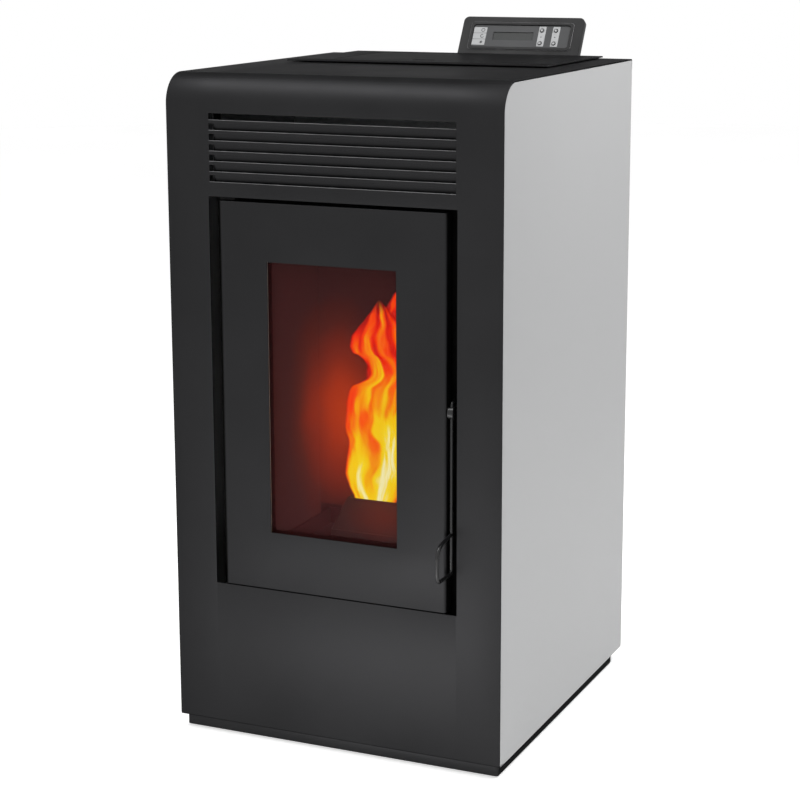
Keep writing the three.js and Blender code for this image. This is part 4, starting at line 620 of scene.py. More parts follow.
def makeFrontShell():
    low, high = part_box("front_shell")
    bend, fold, lip = casing["bend"], casing["foldRadius"], casing["lip"]
    front, rear, bottom, top = low.y, high.y, low.z, high.z
    holes = [(*casing["openingZ"], casing["openingX"])] + [(z0, z1, casing["slotX"]) for z0, z1 in slotRows()]
    mouth = [(y, top) for y in casing["mouthY"]]
    path = [(front + lip, bottom)]
    path += arcPoints((front + fold, bottom + fold), fold, 270, 180, 4)
    path += [(front, z) for z in sorted(z for z0, z1, x in holes for z in (z0, z1))]
    path += arcPoints((front + bend, top - bend), bend, 180, 90, 20) + mouth
    path += arcPoints((rear - fold, top - fold), fold, 90, 0, 4)
    path += [(rear, top - lip)]
    openings = [((front, z0), (front, z1), -x, x) for z0, z1, x in holes]
    openings.append((*mouth, -casing["mouthX"], casing["mouthX"]))
    xs = [low.x, high.x, 0.0] + [side * casing[key] for side in (-1, 1) for key in ("slotX", "openingX", "mouthX")]
    shell = foldedSheet("frontShell", path, 0, sorted(xs), openings, casing["sheet"], casing["edge"], flip=True)
    finishPiece(shell, "blackPaint", "casing", "front_shell")


def makeSidePanel(side, word):
    node = "side_panel_" + word
    low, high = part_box(node)
    sheet, lip = casing["sheet"], casing["lip"]
    inset = casing["bend"] - sheet - 0.3 * mm
    front, rear, bottom, top = low.y, high.y, low.z, high.z
    outline = [(front, bottom), (rear, bottom), (rear, top)]
    outline += arcPoints((front + inset, top - inset), inset, 90, 180, 20)
    x0, x1 = (low.x, low.x + sheet) if side < 0 else (high.x - sheet, high.x)
    turn = Matrix(((0, 0, 1, 0), (1, 0, 0, 0), (0, 1, 0, 0), (0, 0, 0, 1)))
    face = platePiece("sidePanel" + word.title(), [outline], x0, x1, 0.4 * mm, turn)
    a, b = (x1 - 0.5 * mm, x1 + lip) if side < 0 else (x0 - lip, x0 + 0.5 * mm)
    flanges = barPiece("flange", [
        ((a, rear - sheet, bottom), (b, rear, top - 16 * mm)),
        ((a, front, bottom + 3 * mm), (b, front + sheet, top - 56 * mm)),
        ((a, front + 28 * mm, bottom), (b, rear - 20 * mm, bottom + sheet)),
    ], 0.3 * mm)
    joinInto(face, flanges)
    finishPiece(face, "silverPaint", "casing", node)


def makeTopCover():
    low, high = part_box("top_cover")
    fold, skirt = 1.4 * mm, low.z + 1.2 * mm
    mouth = [(side * casing["mouthX"], high.z) for side in (-1, 1)]
    path = [(low.x, skirt)]
    path += arcPoints((low.x + fold, high.z - fold), fold, 180, 90, 4) + mouth
    path += arcPoints((high.x - fold, high.z - fold), fold, 90, 0, 4)
    path += [(high.x, skirt)]
    stations = sorted([low.y, high.y, *casing["mouthY"]])
    cover = foldedSheet("topCover", path, 1, stations, [(*mouth, *casing["mouthY"])], 1.6 * mm, 0.5 * mm)
    finishPiece(cover, "blackPaint", "casing", "top_cover")
    # a thin bead of lighter paint along the cover's front edge: a painted highlight
    r, inset = 0.6 * mm, 4 * mm
    edge = wirePiece("coverEdgeHighlight", [(x, low.y + r, high.z - r) for x in (low.x + inset, high.x - inset)], r)
    finishPiece(edge, "paintedHighlight", "casing")


louvre = metres({"cheek": 6, "rightCheek": 1.4, "run": 14, "sheet": 0.8, "faceRun": 2.8, "faceDrop": 8.5,
    "frame": 180.5, "frameSheet": 2, "frameBar": 6, "bead": 0.4})


def makeGrille():
    low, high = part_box("air_grille")
    left, right = louvre["cheek"] - casing["slotX"], casing["slotX"] - louvre["rightCheek"]
    y0, sheet, slotX = low.y, louvre["sheet"], casing["slotX"]
    shape = bmesh.new()
    slots = list(slotRows())
    for z0, z1 in slots[1:]:
        # the face of each slat stands steep behind its slot, its tail runs back behind the next bar
        top, foot = z1 + (casing["slotPitch"] - casing["slotHeight"]) / 2, z1 - louvre["faceDrop"]
        line = [(y0, top), (y0 + 0.4 * mm, z1 - 0.2 * mm), (y0 + louvre["faceRun"], foot),
            (y0 + louvre["run"], foot - 0.8 * mm)]
        section = line + [(y + sheet * 0.7, z + sheet * 0.7) for y, z in reversed(line)]
        extrudeInto(shape, section, left, right)
    wide, deep, bar = louvre["frame"], y0 + louvre["frameSheet"], louvre["frameBar"]
    for x0, x1, y1, z0, z1 in (
            (left - sheet, left, high.y, low.z, high.z), (-high.x, -wide, deep, low.z, high.z),
            (right, right + sheet, high.y, low.z, high.z), (wide, high.x, deep, low.z, high.z),
            (-wide, wide, deep, high.z - bar, high.z), (-wide, wide, deep, low.z, low.z + bar)):
        boxInto(shape, (x0, y0, z0), (x1, y1, z1))
    grille = pieceFromBmesh("louvreInsert", shape)
    bevelEdges(grille, 0.3 * mm)
    finishPiece(grille, "blackPaint", "casing", "air_grille")
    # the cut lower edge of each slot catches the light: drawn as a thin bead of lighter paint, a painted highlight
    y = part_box("front_shell")[0].y + 0.5 * mm
    for row, (z0, z1) in enumerate(slots):
        bead = wirePiece(f"slotEdge{row + 1}", [(-slotX, y, z0), (slotX, y, z0)], louvre["bead"])
        finishPiece(bead, "paintedHighlight", "casing")


def makePlinth():
    low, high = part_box("base_tray")
    wall, tray = 2.5 * mm, (low.x, high.x, low.y, high.y)
    outer, inner = roundedOutline(tray, 4 * mm, 4), roundedOutline(tray, 1.5 * mm, 4, wall)
    skirt = platePiece("plinthSkirt", [outer, inner], low.z, high.z - wall + 0.2 * mm, 0.4 * mm)
    feet = [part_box(f"levelling_foot_{i}") for i in (1, 2, 3, 4)]
    holes = [circleOutline((a.x + b.x) / 2, (a.y + b.y) / 2, 4.4 * mm, 20) for a, b in feet]
    deck = platePiece("plinthDeck", [outer, *holes], high.z - wall, high.z, 0.3 * mm)
    joinInto(skirt, deck)
    finishPiece(skirt, "blackPaint", "casing", "base_tray")


def makeFeet():
    for i in (1, 2, 3, 4):
        low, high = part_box(f"levelling_foot_{i}")
        r, z1, z = (high.x - low.x) / 2, high.z, 9.4 * mm
        profile = [(0, 0), (r - 1 * mm, 0), (r, 1 * mm), (r, 6 * mm), (r - 2.4 * mm, 8.6 * mm),
            (r - 3.5 * mm, 9 * mm), (4 * mm, 9 * mm)]
        while z < z1 - 1.2 * mm:       # thread of the stud
            profile += [(4 * mm, z), (3.5 * mm, z + 0.5 * mm)]
            z += 1.0 * mm
        profile += [(3.4 * mm, z1), (0, z1)]
        foot = turnedPiece(f"foot{i}", profile, Matrix.Translation(((low.x + high.x) / 2, (low.y + high.y) / 2, 0)))
        finishPiece(foot, "blackRubber", "casing", f"levelling_foot_{i}")


makeFrontShell()
makeSidePanel(-1, "left")
makeSidePanel(1, "right")
makeTopCover()
makeGrille()
makePlinth()
makeFeet()
print("casing made")


lid = metres({"sheet": 2, "halfWidth": 140.5, "inset": 2.5, "flange": 10.5, "pinFromRear": 2.5, "pinDrop": 10,
    "slot": (-26, 6, 66, 78)})


def makeLid():
    low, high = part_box("hopper_lid")
    pinY, pinZ = high.y - lid["pinFromRear"], high.z - lid["pinDrop"]
    x, s = lid["halfWidth"], lid["sheet"]
    top, under = high.z, high.z - s
    front, rear = low.y, pinY + 2 * mm
    plate = platePiece("hopperLid", [roundedOutline((-x, x, front, rear), 1.0 * mm, 3),
        roundedOutline(lid["slot"], 4 * mm, 5)], under, top, 0.4 * mm)
    fx, fy, fz = x - lid["inset"], front + lid["inset"], under - lid["flange"]
    flanges = barPiece("lidFlanges", [((x0, fy, fz), (x1, y1, under + 0.6 * mm)) for x0, x1, y1 in (
        (-fx, -fx + s, rear), (fx - s, fx, rear), (-fx, fx, fy + s))], 0.3 * mm)
    slotX0, slotX1, _, back = lid["slot"]
    path = [(back - 7 * mm, under - 3.8 * mm)]
    path += arcPoints((back - 0.8 * mm, under - 2.0 * mm), 1.8 * mm, 270, 360, 4)
    path += [(back + 1.0 * mm, top - 0.5 * mm)]
    tongue = foldedSheet("lidTongue", path, 0, [slotX0 + 3 * mm, slotX1 - 3 * mm], [], 1.2 * mm, 0.2 * mm)
    pins = []
    inner = fx - s + 0.5 * mm
    reach = high.x - inner
    for side in (-1, 1):
        turn = Matrix.Translation((side * inner, pinY, pinZ)) @ Matrix.Rotation(side * math.pi / 2, 4, "Y")
        pins.append(turnedPiece("lidPin", [(0, 0), (2.4 * mm, 0), (2.4 * mm, reach - 0.5 * mm), (2.0 * mm, reach),
            (0, reach)], turn, 24))
    solid = meshOf(tongue)
    tongue.modifiers.clear()
    tongue.data = solid
    joinInto(plate, flanges, tongue, *pins)
    finishPiece(plate, "blackPaint", "lid", "hopper_lid")


makeLid()
print("lid made")


door = metres({"sheet": 2, "bend": 4, "flange": 20, "window": (-91.75, 91.75, 296, 659.9), "edge": 0.45})


def makeDoorPanel():
    low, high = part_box("door_panel")
    bend, sheet = door["bend"], door["sheet"]
    x0, x1, front, rear = low.x, high.x, low.y, low.y + door["flange"]
    wx0, wx1, wz0, wz1 = door["window"]
    window = [(wx0, front), (wx1, front)]
    path = [(x0, rear)]
    path += arcPoints((x0 + bend, front + bend), bend, 180, 270, 8) + window
    path += arcPoints((x1 - bend, front + bend), bend, 270, 360, 8)
    path += [(x1, rear)]
    pan = foldedSheet("doorPanel", path, 2, [low.z, wz0, wz1, high.z], [(*window, wz0, wz1)], sheet, door["edge"])
    finishPiece(pan, "blackPaint", "door", "door_panel")
    caps = barPiece("doorCaps", [
        ((x0 + sheet / 2, front + sheet / 2, z0), (x1 - sheet / 2, rear, z1)) for z0, z1 in (
            (low.z + 0.05 * mm, low.z + sheet), (high.z - sheet, high.z - 0.05 * mm))], 0.2 * mm)
    finishPiece(caps, "blackPaint", "door")


def makeDoorGlass():
    low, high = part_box("door_glass")
    finishPiece(barPiece("doorGlass", [(low, high)], 0.5 * mm), "fireGlass", "door", "door_glass")
    # matt black enamel margin on the back of the glass, around the sight opening
    outer = [(low.x, low.z), (high.x, low.z), (high.x, high.z), (low.x, high.z)]
    inner = roundedOutline(door["window"], 3.2 * mm, 4, 0.6 * mm)
    turn = Matrix(((1, 0, 0, 0), (0, 0, 1, 0), (0, 1, 0, 0), (0, 0, 0, 1)))
    enamel = platePiece("glassMargin", [outer, inner], high.y + 0.02 * mm, high.y + 0.26 * mm, 0.05 * mm, turn)
    finishPiece(enamel, "stovePaint", "door")


def makeDoorRope():
    low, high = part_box("door_gasket")
    width, count = 14 * mm, 12
    r = min((high.y - low.y) / 2, width / 2)
    field = (low.x, high.x, low.z, high.z)
    shape = bmesh.new()
    rings = []
    for a, b in zip(roundedOutline(field, width + 2 * mm, 10), roundedOutline(field, 2 * mm, 10, width)):
        mid = ((a[0] + b[0]) / 2, (a[1] + b[1]) / 2)
        out = ((a[0] - b[0]) / 2, (a[1] - b[1]) / 2)
        ring = []
        for k in range(count):       # a round section, pressed a little square
            c, s = math.cos(2 * math.pi * k / count), math.sin(2 * math.pi * k / count)
            square = 1.0 / max(abs(c), abs(s)) ** 0.55
            c *= min(square, 1.0 / max(abs(c), 1e-6))
            s *= min(square, 1.0 / max(abs(s), 1e-6))
            ring.append(shape.verts.new((mid[0] + out[0] * c, (low.y + high.y) / 2 + r * s, mid[1] + out[1] * c)))
        rings.append(ring)
    skin(shape, rings + rings[:1])
    finishPiece(pieceFromBmesh("doorRope", shape), "ropeFibre", "door", "door_gasket", smoothDeg=60)


makeDoorPanel()
makeDoorGlass()
makeDoorRope()
print("door made")


# Millimetres; the loop's points are taken from the pivot
handle = {"rod": 2.5, "x": 165.359, "pivot": (-243, 482), "reach": 212, "loop": 52, "outY": -291.5, "rodY": -1.5,
    "boss": [(0, -4), (7.9, -4), (8.5, -3.4), (8.5, 3.4), (7.9, 4), (0, 4)],
    "shaft": [(0, -15.9), (3.6, -15.9), (4, -15.5), (4, -3.5), (0, -3.5)],
    "hook": [(0, -5), (25.5, -7), (29.5, -5), (29.5, 2.7), (25, 2.7), (25, -0.8), (6, -0.8), (0, 5)]}


def bezierPoints(a, b, c, count):
    points = []
    for i in range(count + 1):
        t = i / count
        points.append(tuple((1 - t) ** 2 * p + 2 * t * (1 - t) * q + t * t * r for p, q, r in zip(a, b, c)))
    return points


def makeHandle():
    x, (py, pz) = handle["x"], handle["pivot"]
    rod, bottom, out = handle["rodY"], -handle["reach"], handle["outY"] - py
    top = bottom + handle["loop"]
    bends = [((9, 13), (-1, 16), (rod, 5), 10),
        ((rod, bottom + 6), (rod, bottom), (rod - 6, bottom), 8),
        ((out + 10, bottom), (out, bottom), (out, bottom + 12), 10),
        ((out, top - 22), (out, top - 8), (out + 16, top - 4), 10)]
    line = [point for bend in bends for point in bezierPoints(*bend)] + [(rod, top)]
    wire = wirePiece("handleWire", metres([(x, py + y, pz + z) for y, z in line]), metres(handle["rod"]), 16)
    turn = Matrix.Translation(metres((x, py, pz))) @ Matrix.Rotation(math.pi / 2, 4, "Y")
    boss = turnedPiece("handleBoss", metres(handle["boss"]), turn, 40)
    shaft = turnedPiece("handleShaft", metres(handle["shaft"]), turn, 32)
    shape = bmesh.new()
    half = handle["rod"]
    extrudeInto(shape, metres([(py + y, pz + z) for y, z in handle["hook"]]), metres(x - half), metres(x + half))
    joinInto(wire, boss, shaft, pieceFromBmesh("handleHook", shape))
    finishPiece(wire, "wirePaint", "handle", "handle_lever")


makeHandle()
print("handle made")


pot = metres({"base": 110, "rim": 76, "band": 9, "wall": 3, "floor": 19, "holePitch": 16, "holeRadius": 2.5})


def makePot():
    low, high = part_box("burn_pot")
    middle, z0, z1 = (low.y + high.y) / 2, low.z, high.z
    base, rim, wall = pot["base"] / 2, pot["rim"] / 2, pot["wall"]
    bandTop, inside = z0 + pot["band"], z0 + pot["floor"] + wall
    e, foot = 0.6 * mm, bandTop + 3 * mm

    def halfAt(z):
        return base - (base - rim) * max(0.0, z - bandTop) / (z1 - bandTop)

    # half width, height and corner radius, up the outside and down the inside
    stations = [
        (base - 4 * mm, z0, 3), (base - e, z0, 4), (base, z0 + e, 4), (base, bandTop - e, 4), (base - e, bandTop, 4),
        (base - 1.4 * mm, bandTop, 4), (halfAt(foot) - 0.8 * mm, foot, 4), (rim + e / 2, z1 - 2 * e, 4),
        (rim - e, z1, 4), (rim - wall + e, z1, 3), (rim - wall, z1 - e, 3), (halfAt(inside) - wall, inside, 2)]
    shape = bmesh.new()
    rings = [[shape.verts.new((x, y, z)) for x, y in roundedOutline(
        (-half, half, middle - half, middle + half), corner * mm, 4)] for half, z, corner in stations]
    skin(shape, rings)
    shape.faces.new(rings[-1])
    finishPiece(pieceFromBmesh("burnPot", shape), "potIron", "pot", "burn_pot")
    # dark discs on the pot floor where the air holes are: painted shade of the holes
    holes = bmesh.new()
    pitch = pot["holePitch"]
    for x in (-pitch, 0, pitch):
        for y in (-pitch, 0, pitch):
            bmesh.ops.create_circle(holes, cap_ends=True, segments=16, radius=pot["holeRadius"],
                matrix=Matrix.Translation((x, middle + y, inside + 0.05 * mm)))
    finishPiece(pieceFromBmesh("potHoleShade", holes), "stovePaint", "pot")


makePot()


# Flame sheets: left and right edge, height by height, in millimetres; the fire rises from the pot
flame = {
    "rows": 112,
    "columns": 20,
    "strength": 2.3,
    "sheets": [
        {"name": "flameMain", "y": -118.0, "turn": 0.0, "seed": 3.0, "cover": 1.0, "heat": (0.68, 0.02), "core": 0.30,
            "left": [(312, -31), (319, -33.5), (332, -41), (350, -48.8), (371, -46.5), (399, -43.2), (417, -45.8),
                (436, -43.8), (450, -43.7), (467, -40.4), (474, -36.5), (479, -25), (485.6, -13.4), (493, -8.5),
                (502, -12), (510.7, -17), (517, -24.8), (520, -35), (527.5, -38.7), (541.7, -36.2), (554, -27),
                (569, -14.2), (581, -4), (596, 6.2)],
            "right": [(312, 31), (330, 40), (358, 50), (400, 52), (445, 48), (480, 50), (510, 54), (540, 50),
                (560, 42), (580, 24), (596, 9)]},
        {"name": "flameTongue", "y": -110.0, "turn": 4.0, "seed": 7.0, "cover": 1.0, "heat": (0.30, -0.02),
            "core": 0.0,
            "left": [(505, -8), (530, -14), (560, -6), (575, 4), (587, 13), (600, 21), (613, 33)],
            "right": [(505, 50), (530, 58), (560, 62), (580, 58), (600, 52), (613, 38)]},
        {"name": "flameBack", "y": -84.0, "turn": 14.0, "seed": 11.0, "cover": 0.85, "heat": (0.50, -0.05),
            "core": 0.1,
            "left": [(312, -32), (350, -36), (400, -34), (450, -30), (490, -30), (520, -22), (560, -10), (590, 6)],
            "right": [(312, 32), (350, 42), (400, 46), (450, 40), (490, 44), (520, 40), (560, 26), (590, 12)]},
        {"name": "flameCross", "y": -82.0, "turn": 78.0, "seed": 23.0, "cover": 0.7, "heat": (0.46, -0.05),
            "core": 0.0,
            "left": [(312, -20), (350, -22), (400, -24), (450, -20), (500, -22), (540, -14), (575, -2)],
            "right": [(312, 20), (350, 24), (400, 28), (450, 30), (500, 24), (540, 20), (575, 6)]},
    ],
    "tones": [
        (0.0, (0.45, 0.004, 0.0)), (0.14, (0.85, 0.012, 0.0)), (0.30, (1.0, 0.06, 0.0)), (0.44, (1.0, 0.19, 0.0)),
        (0.57, (1.0, 0.40, 0.0)), (0.70, (1.0, 0.63, 0.0)), (0.88, (1.0, 0.74, 0.015)), (1.0, (1.0, 0.92, 0.45))],
}


def edgeAt(edge, z):
    for (z0, x0), (z1, x1) in zip(edge, edge[1:]):
        if z0 <= z <= z1:
            t = (z - z0) / (z1 - z0)
            t = t * t * (3 - 2 * t) * 0.3 + t * 0.7
            return x0 + (x1 - x0) * t
    return edge[-1][1]


def flameFinish(name, look):
    material, tree, shader = newFinish(name)
    seed = look["seed"]
    uv = addNode(tree, "TexCoord").outputs["UV"]
    split = addNode(tree, "SeparateXYZ", {"Vector": uv})
    across, height = split.outputs["X"], split.outputs["Y"]
    # slow swirls bend the streaks; the streaks themselves are drawn out upwards
    place = addNode(tree, "Mapping", {"Vector": uv, "Location": (seed, seed, 0), "Scale": (2.0, 3.2, 1)})
    swirl = addNode(tree, "TexNoise", {"Vector": place.outputs[0], "Scale": 1.0, "Detail": 2.0})
    moved = vectors(tree, "ADD", uv, vectors(tree, "MULTIPLY", swirl.outputs["Color"], (0.60, 0.34, 0.0)))
    place = addNode(tree, "Mapping", {"Vector": moved, "Location": (seed, 0, 0), "Scale": (6.0, 2.9, 1)})
    streaks = cloudy(tree, place.outputs[0], 1.0, 4.0)
    # 0 on the outline, 1 in the middle
    off = sums(tree, "ABSOLUTE", sums(tree, "SUBTRACT", sums(tree, "MULTIPLY", across, 2.0), 1.0), 0.0)
    depth = sums(tree, "SUBTRACT", 1.0, off)
    rise = spread(tree, height, *look["heat"], 0.0, 1.0)
    heart = sums(tree, "ADD", spread(tree, depth, -0.36, 0.17, 0.0, 0.34), rise)
    away = distanceFrom(tree, uv, (0.69, 0.12, 0.0), (5.2, 3.6, 0.0))       # the hottest place, low on the right
    core = spread(tree, away, look["core"], 0.0, 0.0, 1.0)
    heat = sums(tree, "ADD", sums(tree, "ADD", heart, core), spread(tree, streaks, -0.30, 0.30, 0.32, 0.68))
    fray = sums(tree, "ADD", depth, spread(tree, streaks, -0.10, 0.07))
    edge = spread(tree, fray, 0.0, look["cover"], 0.0, 0.09)
    tip = spread(tree, height, 1.0, 0.0, 0.93, 1.0)
    feed(tree, shader, {
        "Emission Color": toneRamp(tree, heat, flame["tones"]),
        "Emission Strength": flame["strength"],
        "Base Color": (0.0, 0.0, 0.0, 1.0),
        "Specular IOR Level": 0.0,
        "Roughness": 1.0,
        "Alpha": sums(tree, "MULTIPLY", edge, tip)})
    return material


def makeFlame(sheet):
    steps, columns = flame["rows"], flame["columns"]
    z0, z1 = sheet["left"][0][0], sheet["left"][-1][0]
    shape = bmesh.new()
    uvLayer = shape.loops.layers.uv.new("flameUv")
    centre = Vector((0.0, sheet["y"] * mm, 0.0))
    turn = Matrix.Rotation(math.radians(sheet["turn"]), 3, "Z")
    grid = []
    for i in range(steps + 1):
        z = z0 + (z1 - z0) * i / steps
        left, right = edgeAt(sheet["left"], z), edgeAt(sheet["right"], z)
        row = []
        for j in range(columns + 1):
            x = left + (right - left) * j / columns
            belly = 1.0 - (2.0 * j / columns - 1.0) ** 2
            wave = 4.0 * noise.noise(Vector((x * 0.03 + sheet["seed"], z * 0.02, 0.0))) + 4.0 * belly
            row.append(shape.verts.new(centre + turn @ Vector((x * mm, -wave * mm, 0.0)) + Vector((0, 0, z * mm))))
        grid.append(row)
    for i in range(steps):
        for j in range(columns):
            face = shape.faces.new([grid[i][j], grid[i][j + 1], grid[i + 1][j + 1], grid[i + 1][j]])
            spots = ((j, i), (j + 1, i), (j + 1, i + 1), (j, i + 1))
            for loop, (u, v) in zip(face.loops, spots):
                loop[uvLayer].uv = (u / columns, v / steps)
    piece = pieceFromBmesh(sheet["name"], shape, False)
    addFinish(flameFinish, sheet["name"], {**sheet, "slot": "fire_glass"})
    finishPiece(piece, sheet["name"], "pot", smoothDeg=180)


for sheet in flame["sheets"]:
    makeFlame(sheet)


# Glowing pellets heaped in the pot
def makeEmbers():
    low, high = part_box("burn_pot")
    middle, floor = (low.y + high.y) / 2, low.z + pot["floor"] + pot["wall"] + 3.2 * mm
    count, reach, goldenTurn = 64, 25 * mm, 2.39996
    shape = bmesh.new()
    for i in range(count):
        spin = noise.cell_vector(Vector((i * 1.7, 3.1, 0.4)))
        lean = noise.cell_vector(Vector((i * 2.3, 9.7, 5.2)))
        ring, angle = math.sqrt((i + 0.5) / count), i * goldenTurn
        place = Matrix.Translation((reach * ring * math.cos(angle), middle + reach * ring * math.sin(angle),
            floor + (1.0 - ring) * 7 * mm + (i % 3) * 1.6 * mm))
        turn = Matrix.Rotation(spin.x * 6.28, 4, "Z") @ Matrix.Rotation(math.pi / 2 + lean.y * 0.6, 4, "Y")
        bmesh.ops.create_cone(shape, cap_ends=True, segments=10, radius1=3 * mm, radius2=3 * mm,
            depth=(9 + 7 * abs(lean.z)) * mm, matrix=place @ turn)
    finishPiece(pieceFromBmesh("embers", shape), "embers", "pot", smoothDeg=50)


makeEmbers()
print("fire made")


console = metres({"x": 59.5, "rearY": 252.5, "z": 900, "width": 189, "height": 64, "depth": 10, "corner": 8,
    "bezel": (-80, 80, 10, 54.5), "bezelCorner": 5, "bezelProud": 1.5, "rim": 4.5, "lip": 0.35,
    "halfFoot": 60, "footSheet": 2.5})
console["place"] = Matrix.Translation((console["x"], console["rearY"], console["z"])) @ Matrix.Rotation(
    math.radians(60.0), 4, "X")       # leans back


def makeConsole():
    place, rim, bezelField = console["place"], console["rim"], console["bezel"]
    half, height, corner, depth = console["width"] / 2, console["height"], console["corner"], console["depth"]
    outline = [(-half, 0.0), (half, 0.0)]
    outline += arcPoints((half - corner, height - corner), corner, 0, 90, 8)
    outline += arcPoints((-half + corner, height - corner), corner, 90, 180, 8)
    pocket = roundedOutline(bezelField, 4 * mm, 6, rim)
    rimLine = roundedOutline(bezelField, console["bezelCorner"], 8)
    body = platePiece("consoleHousing", [outline, pocket], -depth, 0.0, 0.9 * mm, place)
    bezel = platePiece("consoleBezel", [rimLine, pocket], -1.0 * mm, console["bezelProud"], 0.8 * mm, place)
    back = platePiece("consoleFloor", [roundedOutline(bezelField, 4 * mm, 6, rim - 1 * mm)],
        -depth + 0.5 * mm, -4.5 * mm, 0.2 * mm, place)
    x, y, bottom = console["x"], console["rearY"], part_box("console_housing")[0].z
    foot = barPiece("consoleFoot", [((x - console["halfFoot"], y, bottom), (
        x + console["halfFoot"], y + console["footSheet"], console["z"] + 2 * mm))], 0.4 * mm)
    joinInto(body, bezel, back, foot)
    # a thin ring of lighter paint along the bezel's rim: a painted highlight
    r = console["lip"]
    lip = wirePiece("consoleLipHighlight", [place @ Vector((x, y, r)) for x, y in rimLine], r, closed=True)
    finishPiece(lip, "paintedHighlight", "casing")
    finishPiece(body, "consolePlastic", "casing", "console_housing")


fascia = metres({"display": (-43.5, 19.5, 25.75, 38.75), "leds": (-75, -54.5, 17, 46.5),
    "strips": [(27.0, 38.0, 16.5, 48.5), (48.5, 59.5, 16.5, 48.5)], "foil": 0.12})


def buttonSpot(i):
    low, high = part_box(f"button_{i}")
    local = console["place"].inverted() @ ((low + high) / 2)
    return local.x, local.y


buttonSpots = [buttonSpot(i) for i in (1, 2, 3, 4)]


# A thin print or foil on the fascia, whose face lies at 0
def faceFoil(name, outlines, low, high, edge, finish):
    finishPiece(platePiece(name, outlines, low, high, edge, console["place"]), finish, "casing")


def makeFascia():
    outline = roundedOutline(console["bezel"], 3.7 * mm, 6, console["rim"] + 0.3 * mm)
    window = roundedOutline(fascia["display"], 0.5 * mm, 3)
    holes = [circleOutline(x, y, 3.3 * mm) for x, y in buttonSpots]
    plate = platePiece("fascia", [outline, window, *holes], -1.5 * mm, 0.0, 0.12 * mm, console["place"])
    finishPiece(plate, "fasciaFoil", "casing", "control_fascia")
    foil = (0.01 * mm, fascia["foil"], 0.03 * mm, "stripFoil")
    for i, field in enumerate(fascia["strips"]):
        rings = [circleOutline(x, y, 3.4 * mm) for x, y in buttonSpots if field[0] < x < field[1]]
        faceFoil(f"buttonStrip{i + 1}", [roundedOutline(field, 0.8 * mm, 3), *rings], *foil)
    x0, x1, y0, y1 = fascia["leds"]
    third = (y1 - y0) / 3
    for i in range(3):
        field = (x0, x1, y0 + i * third + 0.3 * mm, y0 + (i + 1) * third - 0.3 * mm)
        faceFoil(f"ledField{i + 1}", [roundedOutline(field, 0.6 * mm, 3)], *foil)


# Small plain signs: a ring, an open ring and a star beside the indicator fields, ticks between buttons
def makeSigns():
    x0, x1, y0, y1 = fascia["leds"]
    third, x = (y1 - y0) / 3, x1 - 6.0 * mm
    sign = (fascia["foil"] - 0.02 * mm, fascia["foil"] + 0.05 * mm, 0.01 * mm, "blackPlastic")
    spot = (x, y0 + 2.5 * third)
    faceFoil("signRing", [circleOutline(*spot, r * mm) for r in (3.0, 2.1)], *sign)
    outer, inner = (arcPoints((x, y0 + 1.5 * third), r * mm, 60, 340, 28) for r in (2.9, 2.0))
    faceFoil("signArc", [outer + inner[::-1]], *sign)
    star = []
    for k in range(12):
        r, angle = (1.3 if k % 2 else 3.0) * mm, math.radians(30 * k + 15)
        star.append((x + r * math.cos(angle), y0 + 0.5 * third + r * math.sin(angle)))
    faceFoil("signStar", [star], *sign)
    for i in (0, 1):
        (ax, ay), (bx, by) = buttonSpots[2 * i:2 * i + 2]
        cx, cy = (ax + bx) / 2, (ay + by) / 2
        corners = [(-1.2, -0.9), (1.2, -0.9), (0, 1.1)]
        faceFoil(f"signTick{i + 1}", [[(cx + dx * mm, cy + dy * mm) for dx, dy in corners]], *sign)


key = metres({
    "cap": [(0, -2.7), (4.1, -2.7), (4.1, -2.0), (3.0, -1.8), (3.0, 0.75), (2.6, 1.15), (1.9, 1.2), (1.5, 0.85),
        (0, 0.75)],
    "ring": [(1.75, 1.05), (1.95, 1.2), (2.6, 1.18), (3.02, 0.8), (3.02, 0.4), (2.4, 0.4), (1.75, 1.05)]})


def makeButtons():
    for i, (x, y) in enumerate(buttonSpots, 1):
        place = console["place"] @ Matrix.Translation((x, y, 0.0))
        cap = turnedPiece(f"buttonKey{i}", key["cap"], place, 36)
        finishPiece(cap, "palePlastic", f"key_{i}", f"button_{i}")
        ring = turnedPiece(f"buttonRing{i}", key["ring"], place, 36)
        finishPiece(ring, "blackPlastic", f"key_{i}")


def makeDisplay():
    pane, back = (
        platePiece(name, [roundedOutline(fascia["display"], 0.4 * mm, 3, inset * mm)], low * mm, high * mm, 0.1 * mm,
            console["place"])
        for name, inset, low, high in (("displayPane", 0.3, -2.1, -0.9), ("displayBack", -2.0, -3.3, -1.8)))
    joinInto(pane, back)
    finishPiece(pane, "displayCover", "casing", "display_window")


makeConsole()
makeFascia()
makeSigns()
makeDisplay()
makeButtons()
print("console made")


# Rays that see the white surround: from the camera, off glossy surfaces and through clear ones
def whiteRays(tree):
    path = addNode(tree, "LightPath").outputs
    seen = sums(tree, "MAXIMUM", path["Is Camera Ray"], path["Is Glossy Ray"])
    return sums(tree, "MAXIMUM", seen, path["Is Transmission Ray"])


def makeStage():
    material, tree, shader = newFinish("paleFloor")
    slow = cloudy(tree, objectPlace(tree), 1.5, 3.0)
    feed(tree, shader, {
        "Base Color": toneRamp(tree, slow, [(0.3, (0.86, 0.86, 0.86)), (0.7, (0.90, 0.90, 0.90))]),
        "Roughness": 0.75,
        "Specular IOR Level": 0.1})
    glow = addNode(tree, "Emission", {
        "Color": (1.0, 1.0, 1.0, 1.0), "Strength": spread(tree, whiteRays(tree), 0.0, 0.50, 0.0, 1.0)})
    both = addNode(tree, "AddShader", {0: shader.outputs[0], 1: glow.outputs[0]})
    tree.links.new(both.outputs[0], tree.nodes["Material Output"].inputs["Surface"])
    shape = bmesh.new()
    bmesh.ops.create_circle(shape, cap_ends=True, segments=96, radius=9.0)
    floor = pieceFromBmesh("floor", shape)
    floor.data.materials.append(material)


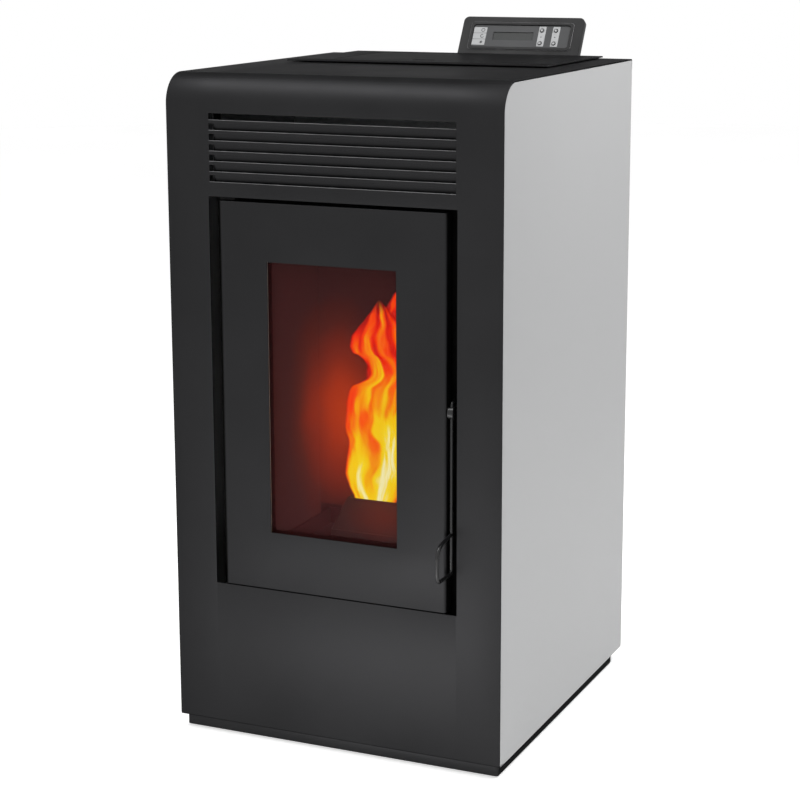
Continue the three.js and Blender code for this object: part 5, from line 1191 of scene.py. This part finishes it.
lamps = {
    "world": 0.74,
    "soft": {
        "front": {"at": (-0.02, -0.64, 0.09), "look": (-0.02, -0.25, 0.12), "size": (0.42, 0.12), "watts": 0.8},
        "top": {"at": (-0.9, -0.75, 2.8), "look": (0.0, -0.2, 0.85), "size": (1.8, 0.6), "watts": 30.0},
        "side": {"at": (0.95, 0.35, 1.8), "look": (0.22, 0.1, 0.95), "size": (0.6, 0.6), "watts": 18.0},
    },
    "fire": {"at": (0.0, -0.175, 0.43), "watts": 0.35, "radius": 0.03, "color": (1.0, 0.30, 0.07)},
}


# A pale studio, a little darker overhead
def makeWorld():
    world = bpy.data.worlds.new("studio")
    scene.world = world
    world.use_nodes = True
    tree = world.node_tree
    tree.nodes.clear()
    coords = addNode(tree, "TexCoord").outputs["Generated"]
    height = addNode(tree, "SeparateXYZ", {"Vector": coords}).outputs["Z"]
    sky = toneRamp(tree, spread(tree, height, 0.0, 1.0, -0.2, 1.0), [(0.0, (1.0, 1.0, 1.0)), (1.0, (0.62, 0.62, 0.62))])
    light = addNode(tree, "Background", {"Color": sky, "Strength": lamps["world"]})
    white = addNode(tree, "Background", {"Color": (1.0, 1.0, 1.0, 1.0), "Strength": 1.0})
    mix = addNode(tree, "MixShader", {0: whiteRays(tree), 1: light.outputs[0], 2: white.outputs[0]})
    addNode(tree, "OutputWorld", {"Surface": mix.outputs[0]})


def makeLamp(name, kind, look, **settings):
    data = bpy.data.lights.new(name, kind)
    data.energy = look["watts"]
    for key, value in settings.items():
        setattr(data, key, value)
    lamp = addObject(name, data)
    lamp.location = look["at"]
    return lamp


makeStage()
makeWorld()
for name, look in lamps["soft"].items():
    lamp = makeLamp(name, "AREA", look, shape="RECTANGLE", size=look["size"][0], size_y=look["size"][1])
    lamp.rotation_mode = "QUATERNION"
    lamp.rotation_quaternion = (Vector(look["look"]) - Vector(look["at"])).to_track_quat("-Z", "Y")
makeLamp("fireLight", "POINT", lamps["fire"], color=lamps["fire"]["color"], shadow_soft_size=lamps["fire"]["radius"])
scene.view_settings.view_transform = "Standard"
print("stage and lamps set")
